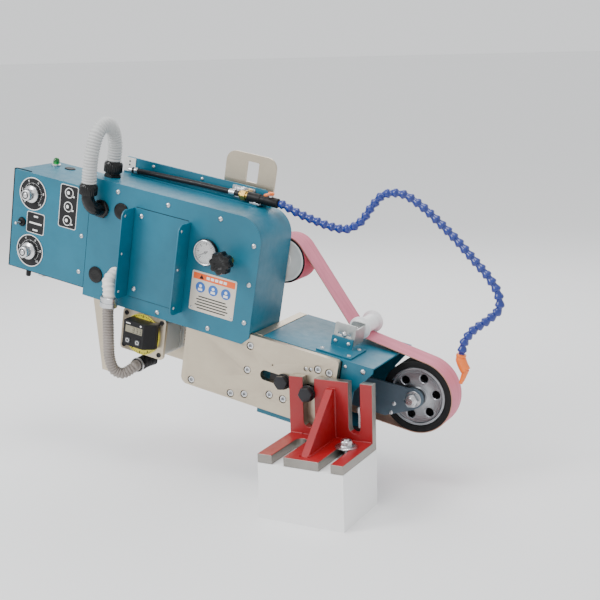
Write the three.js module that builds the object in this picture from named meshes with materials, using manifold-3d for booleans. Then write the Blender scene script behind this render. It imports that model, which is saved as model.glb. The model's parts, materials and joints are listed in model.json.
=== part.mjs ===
// Lathe-mounted abrasive belt grinder on a slotted angle bracket, in millimetres.
// Row frame: origin at the centre of the bracket's underside, +X towards the contact wheel,
// +Y to the back, +Z up. The machine group is pitched nose-down about its pivot bolt; inside it
// x runs along the machine, z across it, and y = 0 is the front face of the front frame plate.
import * as THREE from 'three';
import { mergeVertices } from 'three/addons/utils/BufferGeometryUtils.js';
import Module from 'manifold-3d';

const wasm = await Module();
wasm.setup();

// ---- driving dimensions ----
const GAP = 0.3;
const PITCH = THREE.MathUtils.degToRad(10.6);
const BRACKET = { width: 160, depth: 136, height: 120, thick: 16, slot: 22, slotX: [38.5, 126], slotFloor: 40 };
const PIVOT = { x: -42.5, y: BRACKET.depth / 2 + GAP, z: 92 };
const PLATE = { left: -270, right: 42, bottom: -65, top: 67, thick: 12, slotHalf: 9.5, slotLeft: -106, slotRight: 18 };
const BOX = { left: -508, right: -137, bottom: 45, top: 277, depth: 111.7, wall: 2.5, corner: 45, chamfer: 14 };
const COVER = { front: -3.5, back: -0.3 };
const CONTROL = { left: -690, right: -508.6, bottom: 60, top: 254, depth: 128, wall: 2.5 };
const REAR = { front: 104.3, back: 111.7 };
const BELT = { front: 118, back: 168, thick: 1.5 };
const WHEEL = { x: 152, z: 0, radius: 66, tyre: 12, bore: 8.4 };
const DRUM = { x: -148.5, z: 182.5, radius: 44 };
const DRIVE = { x: -365, z: 3, radius: 62 };
const ROLLER = { x: 24.5, z: 97, neck: 15, flange: 21 };
const GUARD = { left: -116, right: 102, top: 68, bottom: -85, front: 12.3, back: 188, sheet: 3 };
const MOTOR = { left: -413, right: -315, bottom: -37, top: 44.5 };
const HOSE_RADIUS = 8.7;

// ---- colours: [colour, roughness, metalness] ----
const LOOKS = {
  teal: [0x1f8296, 0.45, 0], red: [0xb01822, 0.45, 0], steel: [0xbcb4a6, 0.35, 0.9],
  silver: [0xc9ccd0, 0.25, 1], black: [0x17181a, 0.5, 0.1], dark: [0x2c3134, 0.5, 0.6],
  alu: [0xbfc3c7, 0.3, 1], rubber: [0x141416, 0.8, 0], white: [0xe6e6e4, 0.4, 0],
  lagging: [0xd45a72, 0.8, 0], belt: [0xe3a0ac, 0.9, 0], grey: [0xa9a8a3, 0.5, 0.2],
  yellow: [0xd9cf3a, 0.5, 0], conduit: [0xb3b3b0, 0.6, 0], sleeve: [0x8c8682, 0.6, 0],
  brass: [0xb8903f, 0.3, 1], blue: [0x2a4794, 0.35, 0], orange: [0xee7a28, 0.4, 0], green: [0x1f9a4c, 0.3, 0],
};

const row = new THREE.Group();
const machine = new THREE.Group();
machine.position.set(PIVOT.x, PIVOT.y, PIVOT.z);
machine.rotation.y = PITCH;
row.add(machine);

// ---- helpers ----
function toSolid(geometry) {
  const bare = geometry.clone();
  bare.deleteAttribute('normal');
  bare.deleteAttribute('uv');
  const merged = mergeVertices(bare, 1e-4);
  return new wasm.Manifold(new wasm.Mesh({
    numProp: 3,
    vertProperties: new Float32Array(merged.attributes.position.array),
    triVerts: new Uint32Array(merged.index.array),
  }));
}

function toGeometry(solid) {
  const mesh = solid.getMesh();
  const geometry = new THREE.BufferGeometry();
  geometry.setAttribute('position', new THREE.BufferAttribute(new Float32Array(mesh.vertProperties), 3));
  geometry.setIndex(new THREE.BufferAttribute(new Uint32Array(mesh.triVerts), 1));
  geometry.computeVertexNormals();
  return geometry;
}

const join = (...parts) => toGeometry(parts.slice(1).reduce((sum, part) => sum.add(toSolid(part)), toSolid(parts[0])));
const cut = (body, ...tools) => toGeometry(tools.reduce((rest, tool) => rest.subtract(toSolid(tool)), toSolid(body)));

function add(group, name, look, geometry) {
  const [color, roughness, metalness] = LOOKS[look];
  const mesh = new THREE.Mesh(geometry, new THREE.MeshStandardMaterial({ color, roughness, metalness }));
  mesh.name = name;
  group.add(mesh);
}

function block(x0, x1, y0, y1, z0, z1) {
  const box = new THREE.BoxGeometry(x1 - x0, y1 - y0, z1 - z0);
  return box.translate((x0 + x1) / 2, (y0 + y1) / 2, (z0 + z1) / 2);
}

function cylinderY(x, z, radius, y0, y1, sides = 24) {
  return new THREE.CylinderGeometry(radius, radius, y1 - y0, sides).translate(x, (y0 + y1) / 2, z);
}

function cylinderZ(x, y, radius, z0, z1, sides = 24) {
  const post = new THREE.CylinderGeometry(radius, radius, z1 - z0, sides);
  return post.rotateX(Math.PI / 2).translate(x, y, (z0 + z1) / 2);
}

function cylinderX(y, z, radius, x0, x1, sides = 16) {
  const rod = new THREE.CylinderGeometry(radius, radius, x1 - x0, sides);
  return rod.rotateZ(Math.PI / 2).translate((x0 + x1) / 2, y, z);
}

// A profile drawn in x and z, made solid from y0 back to y1.
function slab(shape, y0, y1, curveSegments = 6) {
  const body = new THREE.ExtrudeGeometry(shape, { depth: y1 - y0, bevelEnabled: false, curveSegments });
  return body.rotateX(Math.PI / 2).translate(0, y1, 0);
}

const outline = (points) => new THREE.Shape(points.map(([x, z]) => new THREE.Vector2(x, z)));

// A rectangle whose four corners are rounded by [lower left, lower right, upper right, upper left].
function rounded(x0, x1, z0, z1, [ll, lr, ur, ul]) {
  const shape = new THREE.Shape();
  shape.moveTo(x0 + ll, z0);
  shape.lineTo(x1 - lr, z0);
  if (lr) shape.absarc(x1 - lr, z0 + lr, lr, -Math.PI / 2, 0, false);
  shape.lineTo(x1, z1 - ur);
  if (ur) shape.absarc(x1 - ur, z1 - ur, ur, 0, Math.PI / 2, false);
  shape.lineTo(x0 + ul, z1);
  if (ul) shape.absarc(x0 + ul, z1 - ul, ul, Math.PI / 2, Math.PI, false);
  shape.lineTo(x0, z0 + ll);
  if (ll) shape.absarc(x0 + ll, z0 + ll, ll, Math.PI, 1.5 * Math.PI, false);
  return shape;
}

// A round bar along a smooth curve through the points, with an even number of sides.
function bar(points, radius, steps, sides = 12) {
  const section = new THREE.Shape();
  section.absarc(0, 0, radius, 0, 2 * Math.PI, false);
  const path = new THREE.CatmullRomCurve3(points.map((p) => new THREE.Vector3(...p)), false, 'centripetal');
  return new THREE.ExtrudeGeometry(section, {
    steps, extrudePath: path, bevelEnabled: false, curveSegments: sides / 2,
  });
}

// A turned piece about an axis along y at (x, z); the profile is [radius, y] pairs from axis to axis.
function turned(x, z, profile, sides = 28) {
  return new THREE.LatheGeometry(profile.map(([r, y]) => new THREE.Vector2(r, y)), sides).translate(x, 0, z);
}

// A closed ring about y with a bore.
const ring = (x, z, outer, inner, y0, y1, sides = 28) => turned(x, z, [
  [inner, y0], [outer, y0], [outer, y1], [inner, y1], [inner, y0]], sides);

// ---- bracket, its hold-down and its jack screw ----
function bracketParts() {
  const { width, depth, height, thick, slot, slotX, slotFloor } = BRACKET;
  const left = -width / 2;
  const front = -depth / 2;
  const back = depth / 2;
  const base = block(left, -left, front, back, 0, thick);
  const upright = block(left, -left, back - thick, back, thick / 2, height);
  const gussetAt = left + (slotX[0] + slotX[1]) / 2;
  const rib = new THREE.ExtrudeGeometry(
    new THREE.Shape([[front + 12, thick - 2], [back - thick + 2, thick - 2], [back - thick + 2, height - 14],
      [back - thick - 8, height - 14]].map(([y, z]) => new THREE.Vector2(y, z))),
    { depth: 14, bevelEnabled: false });
  rib.applyMatrix4(new THREE.Matrix4().set(0, 0, 1, gussetAt - 7, 1, 0, 0, 0, 0, 1, 0, 0, 0, 0, 0, 1));
  const tools = slotX.flatMap((x) => {
    const at = left + x;
    const baseEnd = back - thick - 34;
    return [
      block(at - slot / 2, at + slot / 2, front - 1, baseEnd, -1, thick + 1),
      cylinderZ(at, baseEnd, slot / 2, -1, thick + 1, 16),
      block(at - slot / 2, at + slot / 2, back - thick - 1, back + 1, slotFloor, height + 1),
      cylinderY(at, slotFloor, slot / 2, back - thick - 1, back + 1, 16),
    ];
  });
  add(row, 'bracket', 'red', cut(join(base, upright, rib), ...tools));

  const studAt = [left + slotX[1], back - thick - 34];
  add(row, 'hold_down_stud', 'silver', cylinderZ(...studAt, 6, 1, 31, 20));
  const flange = cylinderZ(...studAt, 19.5, thick + GAP, thick + 4, 28);
  const hex = cylinderZ(...studAt, 11, thick + 3, thick + 13, 6);
  const bore = cylinderZ(...studAt, 6.3, thick - 1, thick + 20, 20);
  add(row, 'hold_down_nut', 'silver', cut(join(flange, hex), bore));

  const jackX = left + slotX[1];
  const jackY = back + 5.4;
  const jackBlock = block(jackX - 15, jackX + 15, back + GAP, back + 10.6, 18, 34);
  add(row, 'jack_block', 'dark', cut(jackBlock, cylinderZ(jackX, jackY, 3.3, 17, 35, 16)));
  const shank = cylinderZ(jackX, jackY, 3, 20, 62, 16);
  const head = cylinderZ(jackX, jackY, 4.9, 61, 70, 20);
  add(row, 'jack_screw', 'silver', cut(join(shank, head), cylinderZ(jackX, jackY, 2.2, 66, 71, 6)));
}

// ---- clamp bolts and the slot bar they thread into ----
function hexBolt(x, z, y0, y1, headBack) {
  const head = new THREE.CylinderGeometry(13.8, 13.8, 10, 6).translate(x, headBack - 9, z);
  const washer = cylinderY(x, z, 14.5, headBack - 4.2, headBack, 28);
  return join(head, washer, cylinderY(x, z, 8, y0, y1, 24));
}

function clampParts() {
  const bracketFront = -BRACKET.thick - GAP;
  add(machine, 'pivot_bolt', 'black', hexBolt(0, 0, bracketFront - 2, 26, bracketFront - GAP));
  add(machine, 'clamp_bolt', 'black', hexBolt(-58, 0, -2, 26, -GAP));
  const barBody = block(-92, 16, PLATE.thick + GAP, 25, -16, 16);
  const bores = [0, -58].map((x) => cylinderY(x, 0, 8.35, 10, 28, 24));
  add(machine, 'slot_bar', 'dark', cut(barBody, ...bores));
}

// ---- plates that carry everything ----
function frameParts() {
  const { left, right, bottom, top, thick, slotHalf, slotLeft, slotRight } = PLATE;
  const face = rounded(left, right, bottom, top, [14, 6, 6, 6]);
  const slotCut = rounded(slotLeft, slotRight, -slotHalf, slotHalf, [9, 9, 9, 9]);
  const holes = [[-247.4, -54], [-161.8, -55]].map(([x, z]) => cylinderY(x, z, 4.3, -1, thick + 1, 16));
  add(machine, 'front_frame_plate', 'steel', cut(slab(face, 0, thick), slab(slotCut, -1, thick + 1), ...holes));
  add(machine, 'cross_bar', 'steel', block(-134, -118, thick + GAP, GUARD.back, 50, GUARD.top));

  const shaftHole = cylinderY(DRIVE.x, DRIVE.z, 10.5, REAR.front - 1, REAR.back + 1, 24);
  const rear = slab(rounded(-440, BOX.right - 3, -68, 240, [12, 12, 6, 6]), REAR.front, REAR.back);
  const barNotch = block(-134.4, -100, REAR.front - 1, REAR.back + 1, 49, 69);
  add(machine, 'rear_frame_plate', 'steel', cut(rear, shaftHole, barNotch));

  const strap = outline([[-533, 44.5], [-490, -122], [-464, -121], [-487, 44.5]]);
  add(machine, 'motor_strap', 'steel', slab(strap, 60, 64));

  const tab = slab(rounded(-292, -186, 205, 364, [4, 4, 20, 20]), REAR.back + GAP, REAR.back + 4.8);
  const tabSlot = slab(rounded(-247, -222, 312, 350, [3, 3, 3, 3]), REAR.back - 1, REAR.back + 6);
  add(machine, 'lifting_tab', 'steel', cut(tab, tabSlot));
}

// ---- sheet guard over the lower belt run ----
function guardParts() {
  const { left, right, top, bottom, front, back, sheet } = GUARD;
  const step = PLATE.right + 2;
  const inner = 26;
  const lid = block(left, right, front, back, top - sheet, top);
  const nose = slab(outline([[step, bottom], [66, bottom], [84, -64], [72, -34], [72, 16], [right, 58],
    [right, top - 1], [step, top - 1]]), front, front + sheet);
  const riser = block(step, step + sheet, front, inner + sheet, bottom, top - 1);
  const wall = block(left, step + sheet, inner, inner + sheet, bottom, top - 1);
  const floor = block(left, 66, inner, back, bottom, bottom + sheet);
  const rearWall = slab(outline([[left, bottom], [66, bottom], [78, 20], [right, 58], [right, top - 1],
    [left, top - 1]]), back - sheet, back);
  add(machine, 'belt_guard', 'teal', join(lid, nose, riser, wall, floor, rearWall));
}

// ---- the contact wheel on its arm ----
function wheelParts() {
  const { x, z, radius, tyre, bore } = WHEEL;
  const arm = new THREE.Shape();
  arm.moveTo(-117.6, -47);
  arm.lineTo(104, -47);
  arm.lineTo(x + 4, z - 20);
  arm.absarc(x, z, 18, -1.1, 1.9, false);
  arm.lineTo(132, 15);
  arm.lineTo(-117.6, 14);
  add(machine, 'contact_arm', 'dark', cut(slab(arm, REAR.front, 110, 8), cylinderY(x, z, 8.35, 100, 114, 24)));
  add(machine, 'wheel_axle', 'silver', join(
    cylinderY(x, z, 8, 84, 180, 24), cylinderY(x, z, 12, 171, 176, 20)));
  add(machine, 'axle_nut', 'silver', cut(
    join(new THREE.CylinderGeometry(13, 13, 12, 6).translate(x, 94, z), cylinderY(x, z, 15, 100, 104, 28)),
    cylinderY(x, z, 8.3, 86, 106, 24)));

  const rim = radius - tyre;
  const hubShape = ring(x, z, rim, bore, BELT.front + 1, BELT.back - 1, 32);
  const dish = ring(x, z, rim - 6, 20, BELT.front + 12, BELT.back + 1, 24);
  const holes = [0, 1, 2, 3, 4, 5].map((k) => {
    const angle = k * Math.PI / 3 + 0.35;
    return cylinderY(x + 36 * Math.cos(angle), z + 36 * Math.sin(angle), 7.5, BELT.front - 1, BELT.back, 10);
  });
  add(machine, 'contact_wheel_hub', 'alu', cut(hubShape, dish, ...holes));
  add(machine, 'contact_wheel_tyre', 'rubber', ring(x, z, radius, rim + GAP, BELT.front, BELT.back, 36));
}

// ---- drum, drive pulley and guide roller ----
function pulleyParts() {
  const { front, back } = BELT;
  add(machine, 'drum', 'lagging', ring(DRUM.x, DRUM.z, DRUM.radius, 8.4, front - 2, back + 2, 28));
  add(machine, 'drum_axle', 'silver', join(
    cylinderY(DRUM.x, DRUM.z, 8, REAR.back + GAP, 180, 20), cylinderY(DRUM.x, DRUM.z, 12, 172, 177, 20)));

  const web = ring(DRIVE.x, DRIVE.z, DRIVE.radius, 9.4, front - 1, back + 1, 28);
  const pocket = ring(DRIVE.x, DRIVE.z, DRIVE.radius - 8, 20, front + 14, back + 2, 20);
  add(machine, 'drive_pulley', 'alu', cut(web, pocket));
  add(machine, 'motor_shaft', 'silver', cylinderY(DRIVE.x, DRIVE.z, 9, 105, 174, 24));

  const { x, z, neck, flange } = ROLLER;
  add(machine, 'guide_roller', 'white', turned(x, z, [
    [4.4, 107], [15, 107], [17, 110], [17, 112], [flange, 113], [flange, 116.5], [neck, 117.3],
    [neck, 168.7], [flange, 169.5], [flange, 173], [12, 174], [4.4, 174], [4.4, 107]], 20));
  add(machine, 'roller_axle', 'silver', join(
    cylinderY(x, z, 4, 96, 182, 16), cylinderY(x, z, 7, 177, 182, 6), cylinderY(x, z, 7, 96, 100.5, 6)));

  // The bracket stands in front of the roller and turns back beside it to hold the axle.
  const face = slab(rounded(-2, 39, 78, 115, [2, 2, 3, 3]), 62.3, 65.3);
  const side = block(36, 39, 62.3, 104, 78, 108);
  const ear = slab(rounded(12, 39, 84, 112, [2, 2, 3, 8]), 101, 104);
  add(machine, 'roller_bracket', 'silver', cut(join(face, side, ear), cylinderY(x, z, 4.3, 98, 106, 16)));
  const foot = block(-14, 55, 20, 86, GUARD.top + GAP, GUARD.top + 3.3);
  const upright = block(-4, 38, 59, 62, GUARD.top + 1, 90);
  add(machine, 'roller_foot', 'teal', join(foot, upright));
}

// The belt runs round the wheel, the drum and the drive pulley, with the roller pressed on its outside.
function beltParts() {
  const skin = GAP;
  const stations = [
    { x: WHEEL.x, z: WHEEL.z, r: WHEEL.radius + skin, side: 1 },
    { x: ROLLER.x, z: ROLLER.z, r: ROLLER.neck + skin + BELT.thick, side: -1 },
    { x: DRUM.x, z: DRUM.z, r: DRUM.radius + skin, side: 1 },
    { x: DRIVE.x, z: DRIVE.z, r: DRIVE.radius + skin, side: 1 },
  ];
  // Direction angle of the tangent that leaves wheel a and meets wheel b, running anticlockwise.
  const heading = (a, b) => {
    const dx = b.x - a.x;
    const dz = b.z - a.z;
    return Math.atan2(dz, dx) - Math.asin((b.side * b.r - a.side * a.r) / Math.hypot(dx, dz));
  };
  const headings = stations.map((a, k) => heading(a, stations[(k + 1) % stations.length]));
  const loop = (offset) => {
    const points = [];
    stations.forEach((s, k) => {
      const from = headings[(k + stations.length - 1) % stations.length];
      let turn = headings[k] - from;
      while (turn < -Math.PI) turn += 2 * Math.PI;
      while (turn > Math.PI) turn -= 2 * Math.PI;
      if (s.side > 0 && turn < 0) turn += 2 * Math.PI;
      const steps = Math.max(3, Math.round(Math.abs(turn) / 0.18));
      for (let i = 0; i <= steps; i += 1) {
        const angle = from + turn * i / steps - s.side * Math.PI / 2;
        const r = s.r + s.side * offset;
        points.push([s.x + r * Math.cos(angle), s.z + r * Math.sin(angle)]);
      }
    });
    return outline(points);
  };
  const outerLoop = slab(loop(BELT.thick), BELT.front, BELT.back, 1);
  add(machine, 'abrasive_belt', 'belt', cut(outerLoop, slab(loop(0), BELT.front - 1, BELT.back + 1, 1)));
}

// ---- motor with its speed display ----
function motorParts() {
  const { left, right, bottom, top } = MOTOR;
  add(machine, 'motor_flange', 'steel', slab(rounded(left, right, bottom, top, [7, 7, 7, 7]), 0.5, 8.5));
  add(machine, 'motor_body', 'grey', slab(rounded(left + 4, right - 3, bottom + 2, top - 2, [14, 14, 14, 14]), 8.8, 104));
  add(machine, 'speed_disc', 'yellow', cylinderY(-365, 3, 40, -2.3, 0.2, 28));
  const housing = new THREE.ExtrudeGeometry(
    new THREE.Shape([[-388, -30], [-342, -30], [-327, -12], [-327, -2.6], [-388, -2.6]]
      .map(([x, y]) => new THREE.Vector2(x, y))), { depth: 49, bevelEnabled: false }).translate(0, 0, -15);
  const buttonHole = (x) => block(x - 5.4, x + 5.4, -31, -26, -9.4, 1.4);
  add(machine, 'speed_display', 'black', cut(housing, buttonHole(-376), buttonHole(-354)));
  add(machine, 'display_button_left', 'dark', block(-381, -371, -31.5, -28, -9, 1));
  add(machine, 'display_button_right', 'dark', block(-359, -349, -31.5, -28, -9, 1));
}

// ---- main box: shell, front cover and the cover's two upright flanges ----
function boxOutline(inset) {
  const { left, right, bottom, top, corner, chamfer } = BOX;
  const shape = new THREE.Shape();
  shape.moveTo(left + inset, bottom + inset);
  shape.lineTo(right - chamfer - inset * 0.4, bottom + inset);
  shape.lineTo(right - inset, bottom + chamfer + inset * 0.4);
  shape.lineTo(right - inset, top - corner);
  shape.absarc(right - corner, top - corner, corner - inset, 0, Math.PI / 2, false);
  shape.lineTo(left + inset, top - inset);
  return shape;
}

function boxParts() {
  const shell = slab(boxOutline(0), 0, BOX.depth, 8);
  const hollow = slab(boxOutline(BOX.wall), -1, BOX.depth + 1, 8);
  const rearNotch = block(-441, BOX.right - BOX.wall - 0.2, REAR.front - 0.4, BOX.depth + 1, 40, 63);
  const plateNotch = block(PLATE.left - 1, BOX.right + 1, -1, PLATE.thick + 0.4, BOX.bottom - 1, PLATE.top + 1);
  add(machine, 'box_shell', 'teal', cut(shell, hollow, rearNotch, plateNotch));

  const sheet = slab(boxOutline(0), COVER.front, COVER.back, 8);
  const raised = slab(rounded(-404, -287, 71, 242, [0, 0, 0, 0]), COVER.front - 1.2, COVER.front + 1);
  const sockets = [
    cylinderY(-435, 227, 14.3, -8, 2, 24), cylinderY(-480.5, 92.3, 14.3, -8, 2, 24)];
  add(machine, 'box_cover', 'teal', cut(join(sheet, raised), ...sockets));

  [['left', -407, -1], ['right', -284, 1]].forEach(([name, x, way]) => {
    const leaf = outline([[0, 70], [-30, 70], [-38, 80], [-38, 231], [-30, 241], [0, 241]]);
    const upright = new THREE.ExtrudeGeometry(leaf, { depth: 2.5, bevelEnabled: false });
    upright.applyMatrix4(new THREE.Matrix4().set(0, 0, 1, x - 1.25, 1, 0, 0, COVER.front - GAP, 0, 1, 0, 0, 0, 0, 0, 1));
    const foot = block(Math.min(x, x + way * 10), Math.max(x, x + way * 10), COVER.front - 2.3, COVER.front - GAP, 70, 241);
    add(machine, `cover_flange_${name}`, 'teal', join(upright, foot));
  });

  [['left', -480.5, 92.3], ['right', -435, 227]].forEach(([name, x, z]) => {
    add(machine, `hole_plug_${name}`, 'black', turned(x, z, [
      [0, -6.5], [13, -6.5], [16, -5.2], [16, -3.8], [13.9, -3.8], [13.9, -0.5], [0, -0.5]], 24));
  });
}

// ---- control box, dials, switch and lamp ----
function controlParts() {
  const { left, right, bottom, top, depth, wall } = CONTROL;
  const shell = block(left, right, 0, depth, bottom, top);
  const hollow = block(left + wall, right - wall, -1, depth - wall, bottom + wall, top - wall);
  add(machine, 'control_box', 'teal', cut(shell, hollow, cylinderZ(-668, 92, 5.3, top - 5, top + 2, 16)));
  const panel = block(left, right, COVER.front, COVER.back, bottom, top);
  const holes = [[-643, 214.5], [-641, 101]].map(([x, z]) => cylinderY(x, z, 3.4, -6, 2, 12));
  add(machine, 'control_panel', 'teal', cut(panel, ...holes, cylinderY(-665, 154, 5.2, -6, 2, 12)));

  [['belt_speed_dial', -643, 214.5], ['oscillation_dial', -641, 101]].forEach(([name, x, z]) => {
    add(machine, name, 'alu', turned(x, z, [
      [0, -27], [10, -27], [11, -26], [11, -12], [17, -11], [17, -5], [3, -5], [3, -1], [0, -1]], 28));
  });
  add(machine, 'toggle_switch', 'silver', turned(-665, 154, [
    [0, -24], [2.2, -24], [2.8, -22], [2, -8], [3.4, -6], [3.4, -2], [0, -2]], 16));
  add(machine, 'indicator_lamp', 'green', turned(0, 0, [
    [0, -6], [5, -6], [5, 0.3], [9, 0.3], [9, 4], [7, 5], [6.5, 12], [4, 16], [0, 17]], 20)
    .rotateX(Math.PI / 2).translate(-668, 92, top));
}

// ---- air regulator and gauge on the cover ----
function airParts() {
  add(machine, 'pressure_gauge', 'black', turned(-243.4, 195.4, [
    [0, -10], [21, -10], [21, -12.5], [24, -12.5], [24.4, -11], [24.4, -4.4], [12, -4.2], [12, -3.8], [0, -3.8]], 32));
  const knob = new THREE.Shape();
  const lobes = 8;
  for (let i = 0; i < lobes * 6; i += 1) {
    const angle = 2 * Math.PI * i / (lobes * 6);
    const r = 19.5 + 2 * Math.cos(lobes * angle);
    const move = i ? 'lineTo' : 'moveTo';
    knob[move](-194 + r * Math.cos(angle), 192.5 + r * Math.sin(angle));
  }
  add(machine, 'regulator_knob', 'black', join(
    slab(knob, -44, -26), cylinderY(-194, 192.5, 8, -27, -3.8, 20)));
}

// ---- sleeved wiring between the boxes and down to the motor ----
function conduitParts() {
  const elbow = bar([[-480, -4.5, 222], [-480, -12, 222], [-486, -25, 226], [-493, -30, 240], [-494, -30, 252]], 12, 8, 10);
  const nut = cylinderZ(-494, -30, 17, 250, 270, 12);
  const collar = cylinderY(-480, 222, 17, -10, -3.8, 20);
  add(machine, 'upper_conduit_elbow', 'black', join(elbow, nut, collar));
  add(machine, 'upper_conduit_connector', 'black', join(
    cylinderZ(-490, 36, 16, BOX.top + GAP, 286, 20), cylinderZ(-490, 36, 18, 285, 306, 12)));
  add(machine, 'upper_conduit', 'conduit', bar([
    [-494, -30, 270.5], [-494, -31, 300], [-494, -28, 335], [-493, -16, 368], [-492, 4, 379],
    [-491, 24, 368], [-490, 35, 340], [-490, 36, 306.5]], 14, 22, 10));

  const white = bar([[-434, -4.5, 103], [-434, -13, 103], [-433, -26, 95], [-427, -30, 80], [-426, -30, 66]], 12.5, 8, 10);
  const collarLow = cylinderY(-434, 103, 16, -9, -3.8, 20);
  add(machine, 'lower_conduit_elbow', 'white', join(white, collarLow, cylinderZ(-426, -30, 17, 48, 69, 12)));
  add(machine, 'lower_conduit', 'sleeve', bar([
    [-426, -30, 47.5], [-426, -30, 38], [-422, -30, 8], [-418, -30, -22], [-413, -29, -52], [-404, -24, -74],
    [-391, -15, -80], [-380, -5, -72], [-376, 2, -66], [-376, 9.5, -66]], 11, 24, 8));
  const socket = bar([[-376, 10, -66], [-376, 18, -66], [-371, 34, -61], [-366, 50, -59]], 13.5, 6, 10);
  add(machine, 'lower_conduit_connector', 'black', join(socket, cylinderZ(-366, 46, 11, -60, MOTOR.bottom + 1.7, 16)));
}

// ---- rail, air tube and coolant line on top of the box ----
function topParts() {
  const railStrip = slab(rounded(-507, -188, BOX.top + GAP, 308, [0, 0, 8, 8]), 96, 100);
  const railFoot = block(-480, -200, 80, 98, BOX.top + GAP, BOX.top + 3);
  add(machine, 'top_rail', 'teal', join(railStrip, railFoot));
  add(machine, 'air_tube', 'black', bar([[-486, 86, 286], [-410, 86, 289], [-330, 86, 291.5], [-250, 86, 292], [-240, 86, 292]], 5, 10, 8));

  const valve = cylinderX(86, 292, 9, -236, -158, 16);
  const inlet = cylinderX(86, 292, 7, -239.6, -225, 12);
  const saddle = block(-215, -195, 79, 93, 281, 292);
  const stem = cylinderZ(-176, 86, 4, 292, 304, 12);
  add(machine, 'coolant_valve', 'brass', join(valve, inlet, saddle, stem));
  const handle = join(cylinderZ(-176, 86, 6, 304.3, 309, 12), block(-178.5, -173.5, 62, 86, 305, 308.5));
  add(machine, 'valve_handle', 'orange', handle);

  add(machine, 'coolant_hose', 'blue', bar([
    [-157.6, 86, 292], [-150, 86, 292], [-117, 94, 281], [-86, 98, 275], [-55, 101, 271], [-26, 105, 273],
    [-3, 109, 292], [11, 113, 321], [28, 117, 346], [59, 121, 354], [90, 125, 344], [116, 129, 329],
    [142, 132, 312], [167, 135, 295], [190, 136, 278], [214, 137, 260], [237, 138, 242], [257, 139, 219],
    [263.5, 140, 193], [247, 141, 167], [223, 142, 139], [212, 143, 112], [212, 143, 103], [212, 143, 94]],
  HOSE_RADIUS, 70, 8));
  const nozzleBody = bar([[212, 143, 93.5], [212, 143, 86], [218, 143, 75], [225, 143, 66]], 9.5, 6, 8);
  const nozzleTip = bar([[225, 143, 68], [223.5, 143, 55], [220.5, 143, 40]], 4, 3, 8);
  add(machine, 'coolant_nozzle', 'orange', join(nozzleBody, nozzleTip));
}

bracketParts();
clampParts();
frameParts();
guardParts();
wheelParts();
pulleyParts();
beltParts();
motorParts();
boxParts();
controlParts();
airParts();
conduitParts();
topParts();

export default row;
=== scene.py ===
"""Looks for the lathe-mounted belt grinder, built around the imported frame.

Machine pieces are drawn in the machine's own millimetres (x along it, y to the back from the frame
plate's face, z across it) and turned into the row frame with the pitch and pivot that the joints give.
"""
import json
import math
import random

import bmesh
import bpy
from mathutils import Matrix, Vector


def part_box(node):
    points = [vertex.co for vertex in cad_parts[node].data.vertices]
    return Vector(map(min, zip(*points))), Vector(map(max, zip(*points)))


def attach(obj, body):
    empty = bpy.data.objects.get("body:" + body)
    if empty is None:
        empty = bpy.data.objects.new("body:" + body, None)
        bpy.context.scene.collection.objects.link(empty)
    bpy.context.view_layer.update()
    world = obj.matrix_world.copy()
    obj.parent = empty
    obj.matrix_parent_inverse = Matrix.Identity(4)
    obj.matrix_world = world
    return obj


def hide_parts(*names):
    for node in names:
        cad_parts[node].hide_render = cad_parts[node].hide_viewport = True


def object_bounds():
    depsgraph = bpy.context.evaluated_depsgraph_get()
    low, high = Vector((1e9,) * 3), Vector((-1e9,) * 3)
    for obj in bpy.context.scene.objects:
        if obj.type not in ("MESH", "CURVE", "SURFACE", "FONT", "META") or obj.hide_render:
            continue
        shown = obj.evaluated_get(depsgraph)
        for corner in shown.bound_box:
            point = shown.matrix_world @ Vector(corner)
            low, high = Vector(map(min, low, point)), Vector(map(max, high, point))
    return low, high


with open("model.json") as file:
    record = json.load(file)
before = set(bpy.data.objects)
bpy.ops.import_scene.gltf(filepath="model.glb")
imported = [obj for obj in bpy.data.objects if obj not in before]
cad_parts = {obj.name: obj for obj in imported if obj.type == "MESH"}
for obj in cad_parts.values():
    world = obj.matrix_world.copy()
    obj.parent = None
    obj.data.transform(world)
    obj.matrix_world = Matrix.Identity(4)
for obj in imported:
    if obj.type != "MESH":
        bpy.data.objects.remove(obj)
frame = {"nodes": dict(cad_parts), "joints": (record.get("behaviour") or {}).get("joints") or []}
CAD_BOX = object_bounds()
JOINTS = {j["name"]: j for j in frame["joints"]}
MM = 0.001

# ---- the machine's place, from the frame's joints ----
feed = JOINTS["feed_slide"]["axis"]
PIVOT = Vector(JOINTS["pitch_hinge"]["pos_m"])
PITCH = math.atan2(-feed[2], feed[0])
MACHINE = Matrix.Translation(PIVOT) @ Matrix.Rotation(PITCH, 4, "Y") @ Matrix.Scale(MM, 4)
ROW = Matrix.Scale(MM, 4)


def on_machine(joint):
    """A joint's centre in the machine's millimetres."""
    return MACHINE.inverted() @ Vector(JOINTS[joint]["pos_m"])


WHEEL = on_machine("contact_wheel_spin")
DRUM = on_machine("drum_spin")
DRIVE = on_machine("drive_spin")
ROLLER = on_machine("roller_spin")
WHEEL_RADIUS, DRUM_RADIUS, DRIVE_RADIUS, ROLLER_RADIUS = 66, 44, 62, 15
BELT_FRONT, BELT_BACK = 118, 168
BELT_THICK = 1.5
COVER_FACE = -3.5
BOX = {"left": -508, "right": -137, "bottom": 45, "top": 277, "depth": 111.7}
CONTROL = {"left": -690, "right": -508.6, "bottom": 60, "top": 254, "depth": 128}
REAR_FACE, REAR_BACK = 104.3, 111.7
GAUGE_FACE = -12.5
GUSSET_X = 2.25
KNOB_LOBES = 8
RIB_PITCH, RIB_DEPTH = 5.4, 2.1
FLOOR_Z = -0.1


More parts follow.
